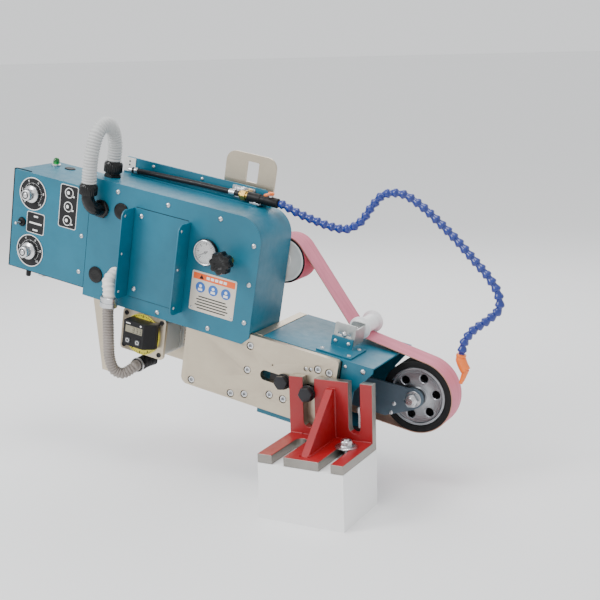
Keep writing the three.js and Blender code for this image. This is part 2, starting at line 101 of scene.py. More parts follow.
# ---- camera ----
CAMERA_AT = Vector((0.855, -1.673, 0.689))
AZIMUTH, ELEVATION, ROLL = (math.radians(a) for a in (27.76, 12.46, -1.66))
FOCAL_LENGTH = 69.5


def make_camera():
    back = Vector((math.sin(AZIMUTH) * math.cos(ELEVATION), -math.cos(AZIMUTH) * math.cos(ELEVATION),
        math.sin(ELEVATION)))
    right = (-back).cross(Vector((0, 0, 1))).normalized()
    up = right.cross(-back)
    x = right * math.cos(ROLL) + up * math.sin(ROLL)
    y = up * math.cos(ROLL) - right * math.sin(ROLL)
    data = bpy.data.cameras.new("camera")
    data.lens = FOCAL_LENGTH
    data.sensor_width = 36
    data.clip_end = 200
    camera = bpy.data.objects.new("camera", data)
    camera.matrix_world = Matrix.Translation(CAMERA_AT) @ Matrix((x, y, back)).transposed().to_4x4()
    bpy.context.scene.collection.objects.link(camera)
    bpy.context.scene.camera = camera


# ---- materials ----
def srgb(*values):
    """A colour given as 0 to 255, in the linear values that shaders take."""
    def linear(v):
        v /= 255
        return v / 12.92 if v <= 0.04045 else ((v + 0.055) / 1.055) ** 2.4
    return tuple(linear(v) for v in values) + (1.0,)


def shade(colour, factor):
    return tuple(min(1.0, c * factor) for c in colour[:3]) + (1.0,)


class Look:
    """A node material with a Principled shader and a few kinds of surface detail."""

    def __init__(self, name, colour, roughness=0.5, metallic=0.0):
        self.material = bpy.data.materials.new(name)
        self.material.use_nodes = True
        self.tree = self.material.node_tree
        self.shader = self.tree.nodes["Principled BSDF"]
        self.colour = colour
        self.set("Base Color", colour)
        self.set("Roughness", roughness)
        self.set("Metallic", metallic)
        self.bumped = None

    def set(self, socket, value):
        self.shader.inputs[socket].default_value = value

    def join(self, a, b):
        self.tree.links.new(a, b)

    def place(self, stretch=(1, 1, 1)):
        """Object coordinates in metres, stretched along the machine's own axes."""
        source = self.tree.nodes.new("ShaderNodeTexCoord")
        turn = self.tree.nodes.new("ShaderNodeVectorRotate")
        turn.rotation_type = "Y_AXIS"
        turn.inputs["Angle"].default_value = -PITCH
        mapping = self.tree.nodes.new("ShaderNodeMapping")
        mapping.inputs["Scale"].default_value = stretch
        self.join(source.outputs["Object"], turn.inputs["Vector"])
        self.join(turn.outputs["Vector"], mapping.inputs["Vector"])
        return mapping.outputs["Vector"]

    def noise(self, scale, detail=3, rough=0.5, stretch=(1, 1, 1)):
        made = self.tree.nodes.new("ShaderNodeTexNoise")
        made.inputs["Scale"].default_value = scale
        made.inputs["Detail"].default_value = detail
        made.inputs["Roughness"].default_value = rough
        self.join(self.place(stretch), made.inputs["Vector"])
        return made.outputs["Fac"]

    def ramp(self, value, low, high, a, b):
        made = self.tree.nodes.new("ShaderNodeMapRange")
        made.inputs["From Min"].default_value = low
        made.inputs["From Max"].default_value = high
        made.inputs["To Min"].default_value = a
        made.inputs["To Max"].default_value = b
        self.join(value, made.inputs["Value"])
        return made.outputs["Result"]

    def tint(self, value, dark, light):
        """Blends the base colour between two shades by a value from 0 to 1."""
        mix = self.tree.nodes.new("ShaderNodeMix")
        mix.data_type = "RGBA"
        mix.inputs["A"].default_value = dark
        mix.inputs["B"].default_value = light
        self.join(value, mix.inputs["Factor"])
        self.join(mix.outputs["Result"], self.shader.inputs["Base Color"])
        return self

    def rough(self, value, low, high):
        self.join(self.ramp(value, 0.3, 0.7, low, high), self.shader.inputs["Roughness"])
        return self

    def bump(self, value, depth_mm, strength=0.5):
        made = self.tree.nodes.new("ShaderNodeBump")
        made.inputs["Strength"].default_value = strength
        made.inputs["Distance"].default_value = depth_mm * MM
        self.join(value, made.inputs["Height"])
        if self.bumped:
            self.join(self.bumped, made.inputs["Normal"])
        self.bumped = made.outputs["Normal"]
        self.join(self.bumped, self.shader.inputs["Normal"])
        return self


def paint(name, colour, roughness=0.36, coat=0.35):
    """Sprayed enamel: fine orange peel, faint blotches and dust in its gloss."""
    look = Look(name, colour, roughness)
    look.set("Coat Weight", coat)
    look.set("Coat Roughness", 0.22)
    blotch = look.noise(9, 4, 0.6)
    look.tint(look.ramp(blotch, 0.35, 0.65, 0, 1), shade(colour, 0.88), shade(colour, 1.1))
    look.rough(look.noise(60, 5, 0.7), roughness - 0.05, roughness + 0.12)
    look.bump(look.noise(650, 2), 0.06, 0.35)
    return look.material


def brushed(name, colour, roughness=0.34, stretch=(0.03, 1, 1), blotch=0.1, metallic=1.0):
    """Metal with fine streaks along one axis of the machine and soft stains."""
    look = Look(name, colour, roughness, metallic)
    streak = look.noise(1400, 3, 0.6, stretch)
    stain = look.noise(14, 5, 0.65)
    look.tint(look.ramp(stain, 0.3, 0.7, 0, 1), shade(colour, 1 - blotch), shade(colour, 1 + blotch * 0.6))
    look.rough(streak, roughness - 0.08, roughness + 0.12)
    look.bump(streak, 0.03, 0.35)
    return look.material


def turned_metal(name, colour, centre, roughness=0.26):
    """Metal turned on a lathe: fine concentric rings about a centre on the machine."""
    look = Look(name, colour, roughness, 1.0)
    source = look.tree.nodes.new("ShaderNodeTexCoord")
    offset = look.tree.nodes.new("ShaderNodeVectorMath")
    offset.operation = "SUBTRACT"
    offset.inputs[1].default_value = MACHINE @ centre
    flatten = look.tree.nodes.new("ShaderNodeVectorMath")
    flatten.operation = "MULTIPLY"
    flatten.inputs[1].default_value = (1, 0, 1)
    length = look.tree.nodes.new("ShaderNodeVectorMath")
    length.operation = "LENGTH"
    rings = look.tree.nodes.new("ShaderNodeTexNoise")
    rings.noise_dimensions = "1D"
    rings.inputs["Scale"].default_value = 1300
    rings.inputs["Detail"].default_value = 4
    look.join(source.outputs["Object"], offset.inputs[0])
    look.join(offset.outputs[0], flatten.inputs[0])
    look.join(flatten.outputs[0], length.inputs[0])
    look.join(length.outputs["Value"], rings.inputs["W"])
    look.rough(rings.outputs["Fac"], roughness - 0.08, roughness + 0.14)
    look.tint(look.ramp(rings.outputs["Fac"], 0.3, 0.7, 0, 1), shade(colour, 0.86), shade(colour, 1.05))
    look.bump(rings.outputs["Fac"], 0.04, 0.4)
    return look.material


def plain(name, colour, roughness=0.45, grain=400, depth=0.04, metallic=0.0, coat=0.0, vary=0.08):
    """Moulded plastic, rubber or small metal parts: fine grain and slight colour change."""
    look = Look(name, colour, roughness, metallic)
    if sum(colour[:3]) < 0.05:
        look.set("Specular IOR Level", 0.28)
    if coat:
        look.set("Coat Weight", coat)
        look.set("Coat Roughness", 0.15)
    look.tint(look.ramp(look.noise(35, 4), 0.3, 0.7, 0, 1), shade(colour, 1 - vary), shade(colour, 1 + vary))
    look.rough(look.noise(120, 4), roughness - 0.05, roughness + 0.08)
    look.bump(look.noise(grain, 3), depth, 0.5)
    return look.material


def abrasive(name, colour):
    """Coated abrasive cloth: sharp fine grain, with loaded streaks along the belt."""
    look = Look(name, colour, 0.82)
    look.set("Specular IOR Level", 0.3)
    grain = look.tree.nodes.new("ShaderNodeTexVoronoi")
    grain.inputs["Scale"].default_value = 1500
    look.join(look.place(), grain.inputs["Vector"])
    streak = look.noise(90, 5, 0.7, (0.12, 1, 0.12))
    look.tint(look.ramp(streak, 0.3, 0.72, 0, 1), shade(colour, 0.84), shade(colour, 1.1))
    look.bump(grain.outputs["Distance"], 0.25, 0.6)
    look.bump(look.noise(45, 3), 0.3, 0.2)
    return look.material


def glass(name, colour):
    """Clear or tinted glass."""
    look = Look(name, colour, 0.06)
    look.set("Transmission Weight", 0.85)
    return look.material


def make_looks():
    return {"teal": paint("teal_paint", srgb(8, 100, 124), 0.44, 0.1),
        "red": paint("red_paint", srgb(150, 12, 20), 0.36, 0.2),
        "raw": brushed("raw_steel", srgb(150, 146, 140), 0.42, (1, 0.05, 1), 0.16),
        "plate": brushed("nickel_plate", srgb(196, 184, 164), 0.38, (0.02, 1, 1), 0.08),
        "zinc": brushed("zinc_steel", srgb(205, 206, 208), 0.24, (1, 1, 1), 0.1),
        "galvanised": plain("galvanised_sheet", srgb(176, 178, 176), 0.42, 160, 0.05, 0.9, vary=0.16),
        "black_steel": plain("black_oxide", srgb(44, 44, 47), 0.38, 300, 0.04, 0.6),
        "arm": brushed("arm_steel", srgb(104, 120, 132), 0.4, (0.03, 1, 1), 0.14, 0.7),
        "hub": turned_metal("turned_aluminium", srgb(168, 170, 174), WHEEL, 0.3),
        # dark grey for the back web: painted shade, so the hub's holes look shadowed inside
        "hub_back_painted_shade": plain("hub_back_painted_shade", srgb(58, 58, 60), 0.5, metallic=0.5),
        "drive": turned_metal("turned_drive", srgb(180, 182, 185), DRIVE, 0.32),
        "dial": brushed("dial_aluminium", srgb(212, 212, 213), 0.26, (1, 0.1, 1), 0.05),
        "tyre": plain("tyre_rubber", srgb(13, 13, 14), 0.62, 260, 0.12),
        # deep pink for the drum barrel: the belt's pink as seen in shadow, painted shade
        "lagging": plain("drum_lagging", srgb(214, 84, 106), 0.75, 300, 0.2, vary=0.12),
        "disc": plain("drum_disc", srgb(226, 224, 220), 0.4, 90, 0.03, vary=0.05),
        "nylon": plain("roller_nylon", srgb(238, 238, 238), 0.34, 200, 0.02, vary=0.03),
        "belt": abrasive("abrasive_belt_face", srgb(214, 128, 146)),
        "belt_back": plain("belt_cloth_back", srgb(176, 132, 112), 0.85, 900, 0.15, vary=0.12),
        "motor": paint("motor_grey", srgb(168, 168, 164), 0.42, 0.1),
        "yellow": plain("scale_yellow", srgb(222, 208, 52), 0.38, 60, 0.01, coat=0.3),
        "black": plain("black_plastic", srgb(14, 14, 16), 0.42, 420, 0.06),
        "gloss_black": plain("gloss_black", srgb(9, 9, 10), 0.26, 60, 0.01, coat=0.15),
        "button": plain("button_grey", srgb(70, 72, 76), 0.45, 200, 0.02),
        "lcd": plain("lcd_glass", srgb(126, 120, 96), 0.2, 30, 0.005, coat=0.8),
        "digit": plain("lcd_digit", srgb(44, 42, 34), 0.4),
        "lens_green": glass("lens_green", srgb(10, 150, 60)),
        "conduit": plain("conduit_grey", srgb(186, 187, 186), 0.5, 300, 0.04, vary=0.05),
        "sleeve": plain("conduit_brown", srgb(140, 132, 126), 0.52, 300, 0.04, vary=0.08),
        "white": plain("fitting_white", srgb(226, 222, 216), 0.4, 90, 0.02, vary=0.04),
        "tube": plain("air_tube", srgb(28, 28, 31), 0.36, 120, 0.02),
        "brass": brushed("brass", srgb(196, 160, 84), 0.28, (1, 1, 1), 0.08),
        "blue": plain("hose_blue", srgb(18, 44, 128), 0.3, 120, 0.02, coat=0.4),
        "orange": plain("hose_orange", srgb(245, 118, 30), 0.32, 120, 0.02, coat=0.3),
        "label": plain("label_silver", srgb(206, 198, 184), 0.36, 60, 0.01, vary=0.04),
        "label_orange": plain("label_orange", srgb(232, 96, 32), 0.4),
        "label_blue": plain("label_blue", srgb(40, 96, 176), 0.4),
        "ink": plain("ink_black", srgb(26, 26, 28), 0.5),
        "paper": plain("print_white", srgb(236, 236, 234), 0.45, vary=0.02),
        "gasket": plain("gasket_rubber", srgb(18, 18, 19), 0.7, 200, 0.08),
        "clear": glass("gauge_glass", (1, 1, 1, 1)),}


make_camera()
LOOK = make_looks()


# ---- mesh code ----
def corner_radius(size, angle, sides):
    """The distance from the centre to the edge of a polygon with that apothem, in one direction."""
    step = 2 * math.pi / sides
    return size / math.cos((angle % step) - step / 2)


class Piece:
    """Collects solid forms in millimetres and makes one Blender object of them."""

    def __init__(self, name, look, body="machine", slot=None, place=MACHINE):
        self.name, self.body, self.slot, self.place = name, body, slot, place
        self.looks = [look]
        self.current = 0
        self.bm = bmesh.new()

    def use(self, look):
        """Later forms take this look."""
        if look not in self.looks:
            self.looks.append(look)
        self.current = self.looks.index(look)
        return self

    def faces(self, rings, close_rings=True, caps=True):
        """Skins a list of rings of vertices."""
        count = len(rings[0])
        made = []
        for a, b in zip(rings, rings[1:]):
            for i in range(count if close_rings else count - 1):
                j = (i + 1) % count
                made.append(self.bm.faces.new((a[i], a[j], b[j], b[i])))
        if caps:
            made.append(self.bm.faces.new(list(reversed(rings[0]))))
            made.append(self.bm.faces.new(rings[-1]))
        for face in made:
            face.material_index = self.current
            face.smooth = True
        return self

    def turn(self, at, profile, axis="Y", segments=32, phase=0.0, closed=False):
        """A turned form: profile entries are (radius, distance along the axis[, number of sides])."""
        rings = []
        for entry in profile:
            radius, along = entry[:2]
            sides = entry[2] if len(entry) > 2 else 0
            ring = []
            for i in range(segments):
                angle = 2 * math.pi * i / segments
                r = corner_radius(radius, angle, sides) if sides else radius
                r = max(r, 0.01)
                u = r * math.cos(angle + phase)
                v = r * math.sin(angle + phase)
                spot = {"Y": (at[0] + u, along, at[2] + v), "Z": (at[0] + u, at[1] + v, along),
                    "X": (along, at[1] + u, at[2] + v)}[axis]
                ring.append(self.bm.verts.new(spot))
            rings.append(ring)
        if closed:
            rings.append(rings[0])
        return self.faces(rings, caps=not closed)

    def tube(self, points, radius, sides=20, up=(0, 1, 0)):
        """A tube through points; radius is a number or one value for each point."""
        points = [Vector(p) for p in points]
        radii = radius if isinstance(radius, (list, tuple)) else [radius] * len(points)
        side = None
        rings = []
        for k, p in enumerate(points):
            along = (points[min(k + 1, len(points) - 1)] - points[max(k - 1, 0)]).normalized()
            if side is None:
                side = along.cross(Vector(up))
                if side.length < 0.1:
                    side = along.cross(Vector((1, 0, 0)))
            side = (side - along * side.dot(along)).normalized()
            other = along.cross(side)
            rings.append([self.bm.verts.new(p + (side * math.cos(a) + other * math.sin(a)) * radii[k]) for a
                in (2 * math.pi * i / sides for i in range(sides))])
        return self.faces(rings)

    def plate(self, outline, y0, y1):
        """A flat form whose outline is drawn in x and z."""
        return self.faces([[self.bm.verts.new((x, y, z)) for x, z in outline] for y in (y0, y1)])

    def box(self, x0, x1, y0, y1, z0, z1):
        return self.plate([(x0, z0), (x1, z0), (x1, z1), (x0, z1)], y0, y1)

    def copy(self, node):
        """The CAD node's own solid, with flat faces merged so that its edges can be rounded."""
        mesh = frame["nodes"][node].data.copy()
        mesh.transform(self.place.inverted())
        before = set(self.bm.faces)
        self.bm.from_mesh(mesh)
        bmesh.ops.remove_doubles(self.bm, verts=self.bm.verts, dist=0.01)
        for face in self.bm.faces:
            if face not in before:
                face.smooth = True
                face.material_index = self.current
        bmesh.ops.dissolve_limit(self.bm, angle_limit=math.radians(1.5), verts=self.bm.verts,
            edges=self.bm.edges)
        return self

    def done(self, replaces=(), bevel=0.0, cutters=None, sharp=38, segments=2):
        bmesh.ops.recalc_face_normals(self.bm, faces=self.bm.faces)
        for edge in self.bm.edges:
            if len(edge.link_faces) == 2 and edge.calc_face_angle(0) > math.radians(sharp):
                edge.smooth = False
        mesh = bpy.data.meshes.new(self.name)
        self.bm.to_mesh(mesh)
        self.bm.free()
        mesh.transform(self.place)
        for look in self.looks:
            mesh.materials.append(LOOK[look])
        made = bpy.data.objects.new(self.name, mesh)
        bpy.context.scene.collection.objects.link(made)
        if cutters:
            carve(made, cutters)
        if bevel:
            soften = made.modifiers.new("bevel", "BEVEL")
            soften.width = bevel * MM
            soften.segments = segments
            soften.limit_method = "ANGLE"
            soften.angle_limit = math.radians(sharp)
            soften.use_clamp_overlap = True
            soften.harden_normals = True
        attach(made, self.body)
        if replaces:
            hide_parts(*replaces)
        return made


def carve(target, cutters):
    """Cuts the cutter piece out of the target, then drops the cutter."""
    tool = cutters.done()
    tool.parent = None
    cut = target.modifiers.new("cut", "BOOLEAN")
    cut.object = tool
    cut.solver = "EXACT"
    graph = bpy.context.evaluated_depsgraph_get()
    mesh = bpy.data.meshes.new_from_object(target.evaluated_get(graph))
    if len(mesh.polygons) < len(target.data.polygons) / 2:
        raise RuntimeError(f"the cut in {target.name} failed")
    target.modifiers.clear()
    target.data = mesh
    bpy.data.objects.remove(tool)


def smooth_path(points, spacing):
    """Even points along a centripetal Catmull-Rom curve through the given ones."""
    pts = [Vector(p) for p in points]
    pts = [pts[0] * 2 - pts[1]] + pts + [pts[-1] * 2 - pts[-2]]
    dense = []
    for p0, p1, p2, p3 in zip(pts, pts[1:], pts[2:], pts[3:]):
        t1 = (p1 - p0).length ** 0.5
        t2 = t1 + (p2 - p1).length ** 0.5
        t3 = t2 + (p3 - p2).length ** 0.5
        steps = 24
        for i in range(steps):
            t = t1 + (t2 - t1) * i / steps
            a1 = p0 * ((t1 - t) / t1) + p1 * (t / t1)
            a2 = p1 * ((t2 - t) / (t2 - t1)) + p2 * ((t - t1) / (t2 - t1))
            a3 = p2 * ((t3 - t) / (t3 - t2)) + p3 * ((t - t2) / (t3 - t2))
            b1 = a1 * ((t2 - t) / t2) + a2 * (t / t2)
            b2 = a2 * ((t3 - t) / (t3 - t1)) + a3 * ((t - t1) / (t3 - t1))
            dense.append(b1 * ((t2 - t) / (t2 - t1)) + b2 * ((t - t1) / (t2 - t1)))
    dense.append(pts[-2])
    runs = [0.0]
    for a, b in zip(dense, dense[1:]):
        runs.append(runs[-1] + (b - a).length)
    count = max(2, round(runs[-1] / spacing))
    even, k = [], 0
    for i in range(count + 1):
        want = runs[-1] * i / count
        while k < len(runs) - 2 and runs[k + 1] < want:
            k += 1
        share = (want - runs[k]) / max(runs[k + 1] - runs[k], 1e-9)
        even.append(dense[k].lerp(dense[k + 1], min(1, share)))
    return even, runs[-1]


def rounded(x0, x1, z0, z1, radii, steps=6):
    """A rectangle rounded by [lower left, lower right, upper right, upper left]."""
    corners = [(x0, z0, 180), (x1, z0, 270), (x1, z1, 0), (x0, z1, 90)]
    outline = []
    for (x, z, start), r in zip(corners, radii):
        cx = x + (r if x == x0 else -r)
        cz = z + (r if z == z0 else -r)
        if r == 0:
            outline.append((x, z))
            continue
        for i in range(steps + 1):
            angle = math.radians(start + 90 * i / steps)
            outline.append((cx + r * math.cos(angle), cz + r * math.sin(angle)))
    return outline


# ---- fasteners ----
def cap_screw(piece, x, z, face, head=6.5, high=2.0, socket=3.0):
    """A socket-head cap screw seen from the front, standing a little proud of a face."""
    piece.turn((x, 0, z), [(0, face + 0.2), (head, face + 0.2), (head, face - high + 0.8),
        (head - 0.8, face - high), (socket + 0.6, face - high), (socket, face - high + 0.3, 6),
        (socket, face + 0.05 - high * 0.3, 6), (0, face + 0.1 - high * 0.3)], segments=24,
        phase=random.uniform(0, 1))


def button_screw(piece, x, z, face, size=4.6, high=2.4):
    """A domed socket screw."""
    dome = [(size * math.cos(a), face - high * math.sin(a)) for a in (0, 0.35, 0.7, 1.0, 1.2)]
    piece.turn((x, 0, z), [(0, face + 0.2), (size, face + 0.2)] + dome + [(size * 0.34, face - high * 0.95,
        6), (size * 0.34, face - high * 0.35, 6), (0, face - high * 0.35)], segments=24,
        phase=random.uniform(0, 1))


def hexagon(piece, at, axis, across, start, end, phase=0.0):
    """A hexagon nut or head whose free end is at end, chamfered round its corners."""
    half = across / 2
    way = 1 if end > start else -1
    piece.turn(at, [(0, start), (half, start, 6), (half, end - way * 1.2, 6), (half * 0.97, end - way * 0.3),
        (half * 0.9, end), (0, end)], axis, 24, phase)


def washer(piece, at, axis, radius, start, end):
    way = 0.5 if end > start else -0.5
    piece.turn(at, [(0, start), (radius, start), (radius, end - way), (radius - 0.5, end), (0, end)], axis,
        36)


# ---- coolant hose, first of the soft parts ----
HOSE_POINTS = [(-157.6, 86, 292), (-150, 86, 292), (-117, 94, 281), (-86, 98, 275), (-55, 101, 271),
    (-26, 105, 273), (-3, 109, 292), (11, 113, 321), (28, 117, 346), (59, 121, 354), (90, 125, 344),
    (116, 129, 329), (142, 132, 312), (167, 135, 295), (190, 136, 278), (214, 137, 260), (237, 138, 242),
    (257, 139, 219), (263.5, 140, 193), (247, 141, 167), (223, 142, 139), (212, 143, 112), (212, 143, 103),
    (212, 143, 94)]
HOSE_DIAMETER = 17.4
SEGMENT = 14.5


def coolant_hose():
    """A chain of ball-and-socket segments: each flares from a waist to a wide socket lip."""
    route, length = smooth_path(HOSE_POINTS, 1.1)
    count = round(length / SEGMENT)
    widest = HOSE_DIAMETER / 2
    shape = [(0, 0.66), (0.1, 0.72), (0.3, 0.9), (0.5, 1.0), (0.62, 0.98), (0.72, 0.8), (0.8, 0.64),
        (0.9, 0.6), (1, 0.66)]
    radii = []
    for i in range(len(route)):
        t = i / (len(route) - 1) * count % 1.0
        for (t0, r0), (t1, r1) in zip(shape, shape[1:]):
            if t0 <= t <= t1:
                radii.append(widest * (r0 + (r1 - r0) * (t - t0) / (t1 - t0)))
                break
    hose = Piece("coolant_hose_segments", "blue", slot="hose_blue")
    hose.tube(route, radii, 20)
    made = hose.done(("coolant_hose",), sharp=60)
    nozzle = Piece("coolant_nozzle_body", "orange", slot="hose_orange")
    neck, _ = smooth_path([(212, 143, 93.6), (212, 143, 86), (218, 143, 75), (225, 143, 66)], 1.2)
    nozzle.tube(neck, [6.2 + 3.3 * min(1, k / 8) for k in range(len(neck))], 20)
    spout, _ = smooth_path([(225, 143, 68), (223.5, 143, 55), (220.5, 143, 40)], 2)
    nozzle.tube(spout, [6.5 - 3 * k / (len(spout) - 1) for k in range(len(spout))], 16)
    nozzle.turn((212, 143, 0), [(0, 93.6), (8.6, 93.6), (9.2, 92.6), (9.2, 89), (0, 89)], "Z", 20)
    tip = nozzle.done(("coolant_nozzle",), bevel=0.4)


coolant_hose()
random.seed(7)


# ---- bracket and its fasteners ----
def bracket_pieces():
    low, high = (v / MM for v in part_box("bracket"))
    base_top, wall = 16, 16
    body = Piece("bracket_painted", "red", "base", "red_paint", ROW).copy("bracket")
    body.use("raw")
    for face in body.bm.faces:
        n = face.normal
        c = face.calc_center_median()
        side = abs(n.x) > 0.7 and not (abs(c.x - GUSSET_X) < 9 and -60 < c.y < 55)
        front = n.y < -0.7 and (c.z < base_top and c.y < high.y - wall - 2)
        ledge = n.z > 0.7 and c.z > high.z - 1
        slot = c.z < base_top + 0.1 and abs(n.z) < 0.3
        under = n.z < -0.7
        face.material_index = 1 if side or front or ledge or slot or under else 0
    body.done(("bracket",), bevel=1.1)

    bead = Piece("bracket_weld_beads", "red", "base", "red_paint", ROW)
    for way in (-1, 1):
        x = GUSSET_X + way * 7.4
        upright = [(x, high.y - wall - 0.6, z) for z in range(int(base_top) + 2, 104, 2)]
        foot = [(x, y, base_top + 0.4) for y in range(int(low.y) + 14, int(high.y - wall) - 1, 2)]
        for run in (upright, foot):
            bead.tube(run, [2.1 + random.uniform(-0.25, 0.25) for _ in run], 10)
    corner = [(x, high.y - wall - 0.4, base_top + 0.4) for x in range(-77, 78,
        2) if abs(abs(x - GUSSET_X) - 44) > 13]
    lengths = [[p for p in corner if p[0] < -53], [p for p in corner if -30 < p[0] < 35],
        [p for p in corner if p[0] > 58]]
    for run in lengths:
        bead.tube(run, [1.8 + random.uniform(-0.2, 0.2) for _ in run], 10)
    bead.done()

    low_n, high_n = (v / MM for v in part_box("hold_down_nut"))
    at = ((low_n.x + high_n.x) / 2, (low_n.y + high_n.y) / 2, 0)
    nut = Piece("hold_down_flange_nut", "zinc", "base", "zinc_steel", ROW)
    nut.turn(at, [(6.4, low_n.z), (19.5, low_n.z), (19.5, low_n.z + 1.6), (17, low_n.z + 3.2),
        (12, low_n.z + 4), (9.6, low_n.z + 4.2, 6), (9.6, high_n.z - 1.6, 6), (9.2, high_n.z - 0.5),
        (8.2, high_n.z), (6.4, high_n.z)], "Z", 48, closed=True)
    nut.done(("hold_down_nut",))
    low_s, high_s = (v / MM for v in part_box("hold_down_stud"))
    stud = Piece("hold_down_threaded_stud", "zinc", "base", "zinc_steel", ROW)
    turns = [(5.9 if k % 2 else 5.2,
        low_s.z + 1 + k * 0.8) for k in range(int((high_s.z - low_s.z - 2) / 0.8))]
    stud.turn(at, [(0, low_s.z), (5.2, low_s.z)] + turns + [(4.8, high_s.z), (0, high_s.z)], "Z", 24)
    stud.done(("hold_down_stud",))

    Piece("jack_screw_block", "black_steel", "base", "black_steel",
        ROW).copy("jack_block").done(("jack_block",), bevel=0.6)
    low_j, high_j = (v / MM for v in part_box("jack_screw"))
    at = ((low_j.x + high_j.x) / 2, (low_j.y + high_j.y) / 2, 0)
    jack = Piece("jack_cap_screw", "zinc", "base", "zinc_steel", ROW)
    turns = [(2.9 if k % 2 else 2.4, low_j.z + 1 + k * 0.9) for k in range(44)]
    jack.turn(at, [(0, low_j.z), (2.4, low_j.z)] + turns + [(2.5, 61), (4.9, 61), (4.9, 69.4), (4.4, 70),
        (2.6, 70), (2.2, 69.6, 6), (2.2, 66, 6), (0, 66)], "Z", 24)
    jack.done(("jack_screw",))


def clamp_pieces():
    """The two black hexagon bolts and the slotted bar behind the frame plate."""
    for name, body, node, x, face in (("pivot_hex_bolt", "height_clamp", "pivot_bolt", 0, -16.6),
            ("clamp_hex_bolt", "slot_clamp", "clamp_bolt", -58, -0.3)):
        bolt = Piece(name, "black_steel", body, "black_steel")
        washer(bolt, (x, 0, 0), "Y", 14.5, face, face - 3.6)
        hexagon(bolt, (x, 0, 0), "Y", 24, face - 3.6, face - 14, 0.3)
        bolt.turn((x, 0, 0), [(0, face), (8, face), (8, 25), (7, 26), (0, 26)], segments=28)
        bolt.done((node,), bevel=0.3)
    Piece("slot_clamp_bar", "black_steel", "slot_clamp", "black_steel").copy("slot_bar").done(("slot_bar",),
        bevel=0.8)


# ---- plates ----
PLATE_SCREWS = [(-133.5, 46), (-133.5, -0.5), (-133.5, -48), (-82.7, -33.5), (-54.8, -33.5), (4.6, 41),
    (26.8, 41), (-247.4, -54), (-161.8, -55)]
PLATE_PINS = [(-18.5, 35.5), (-9, 37)]


def frame_pieces():
    plate = Piece("front_plate_finished", "plate", slot="frame_steel").copy("front_frame_plate")
    bores = Piece("bores", "plate")
    for x, z in PLATE_SCREWS:
        bores.turn((x, 0, z), [(0, -1), (7.6, -1), (7.6, 8.5), (0, 8.5)], segments=28)
    for x, z in PLATE_PINS:
        bores.turn((x, 0, z), [(0, -1), (4.4, -1), (4.4, 3), (0, 3)], segments=20)
    bores.turn((-84, 0, 23.5), [(0, -1), (1.6, -1), (1.6, 6), (0, 6)], segments=12)
    plate.done(("front_frame_plate",), bevel=0.7, cutters=bores)
    screws = Piece("frame_cap_screws", "zinc", slot="zinc_steel")
    for x, z in PLATE_SCREWS:
        cap_screw(screws, x, z, 8.4, 6.4, 8.0, 3.0)
    for x, z in PLATE_PINS:
        button_screw(screws, x, z, 2.8, 4.2, 2.4)
    screws.done()

    Piece("cross_bar_finished", "plate", slot="frame_steel").copy("cross_bar").done(("cross_bar",),
        bevel=0.6)
    rear = Piece("rear_plate_finished", "plate", slot="frame_steel").copy("rear_frame_plate")
    rear.done(("rear_frame_plate",), bevel=0.7)
    strap = Piece("motor_strap_finished", "plate", slot="frame_steel").copy("motor_strap")
    strap.use("zinc")
    for x, z in ((-488, -78), (-486, -92)):
        button_screw(strap, x, z, 59.9, 2.6, 1.4)
    strap.done(("motor_strap",), bevel=0.4)
    tab = Piece("lifting_tab_finished", "plate", slot="frame_steel").copy("lifting_tab")
    tab.done(("lifting_tab",), bevel=0.6)

    back = Piece("rear_plate_screws", "zinc", slot="zinc_steel")
    spots = [(-425, 60), (-425, -52), (-320, 60), (-320, -52), (-425, 180), (-200, 60), (-200, 120),
        (-280, 225), (-200, 225)]
    for x, z in spots:
        back.turn((x, 0, z), [(0, REAR_BACK - 0.1), (6.5, REAR_BACK - 0.1), (6.5, REAR_BACK + 3.4),
            (5.9, REAR_BACK + 4), (3.4, REAR_BACK + 4), (3, REAR_BACK + 3.7, 6), (3, REAR_BACK + 1.5, 6),
            (0, REAR_BACK + 1.5)], segments=24)
    for x in (-262, -212):
        for z in (222, 250):
            hexagon(back, (x, 0, z), "Y", 13, REAR_BACK + 4.7, REAR_BACK + 10)
    back.done()


def guard_pieces():
    guard = Piece("belt_guard_painted", "teal", slot="teal_paint").copy("belt_guard")
    guard.done(("belt_guard",), bevel=0.7)
    screws = Piece("guard_screws", "zinc", slot="zinc_steel")
    button_screw(screws, 84, 57, 12.3, 4.8, 2.6)
    button_screw(screws, 50, 57, 12.3, 3.2, 1.6)
    for x, z in ((-100, 50), (-100, -70), (50, -70), (60, 50)):
        screws.turn((x, 0, z), [(0, 187.9), (4.6, 187.9), (4.2, 189.2), (2.6, 190.2), (0, 190.5)],
            segments=20)
    screws.done()


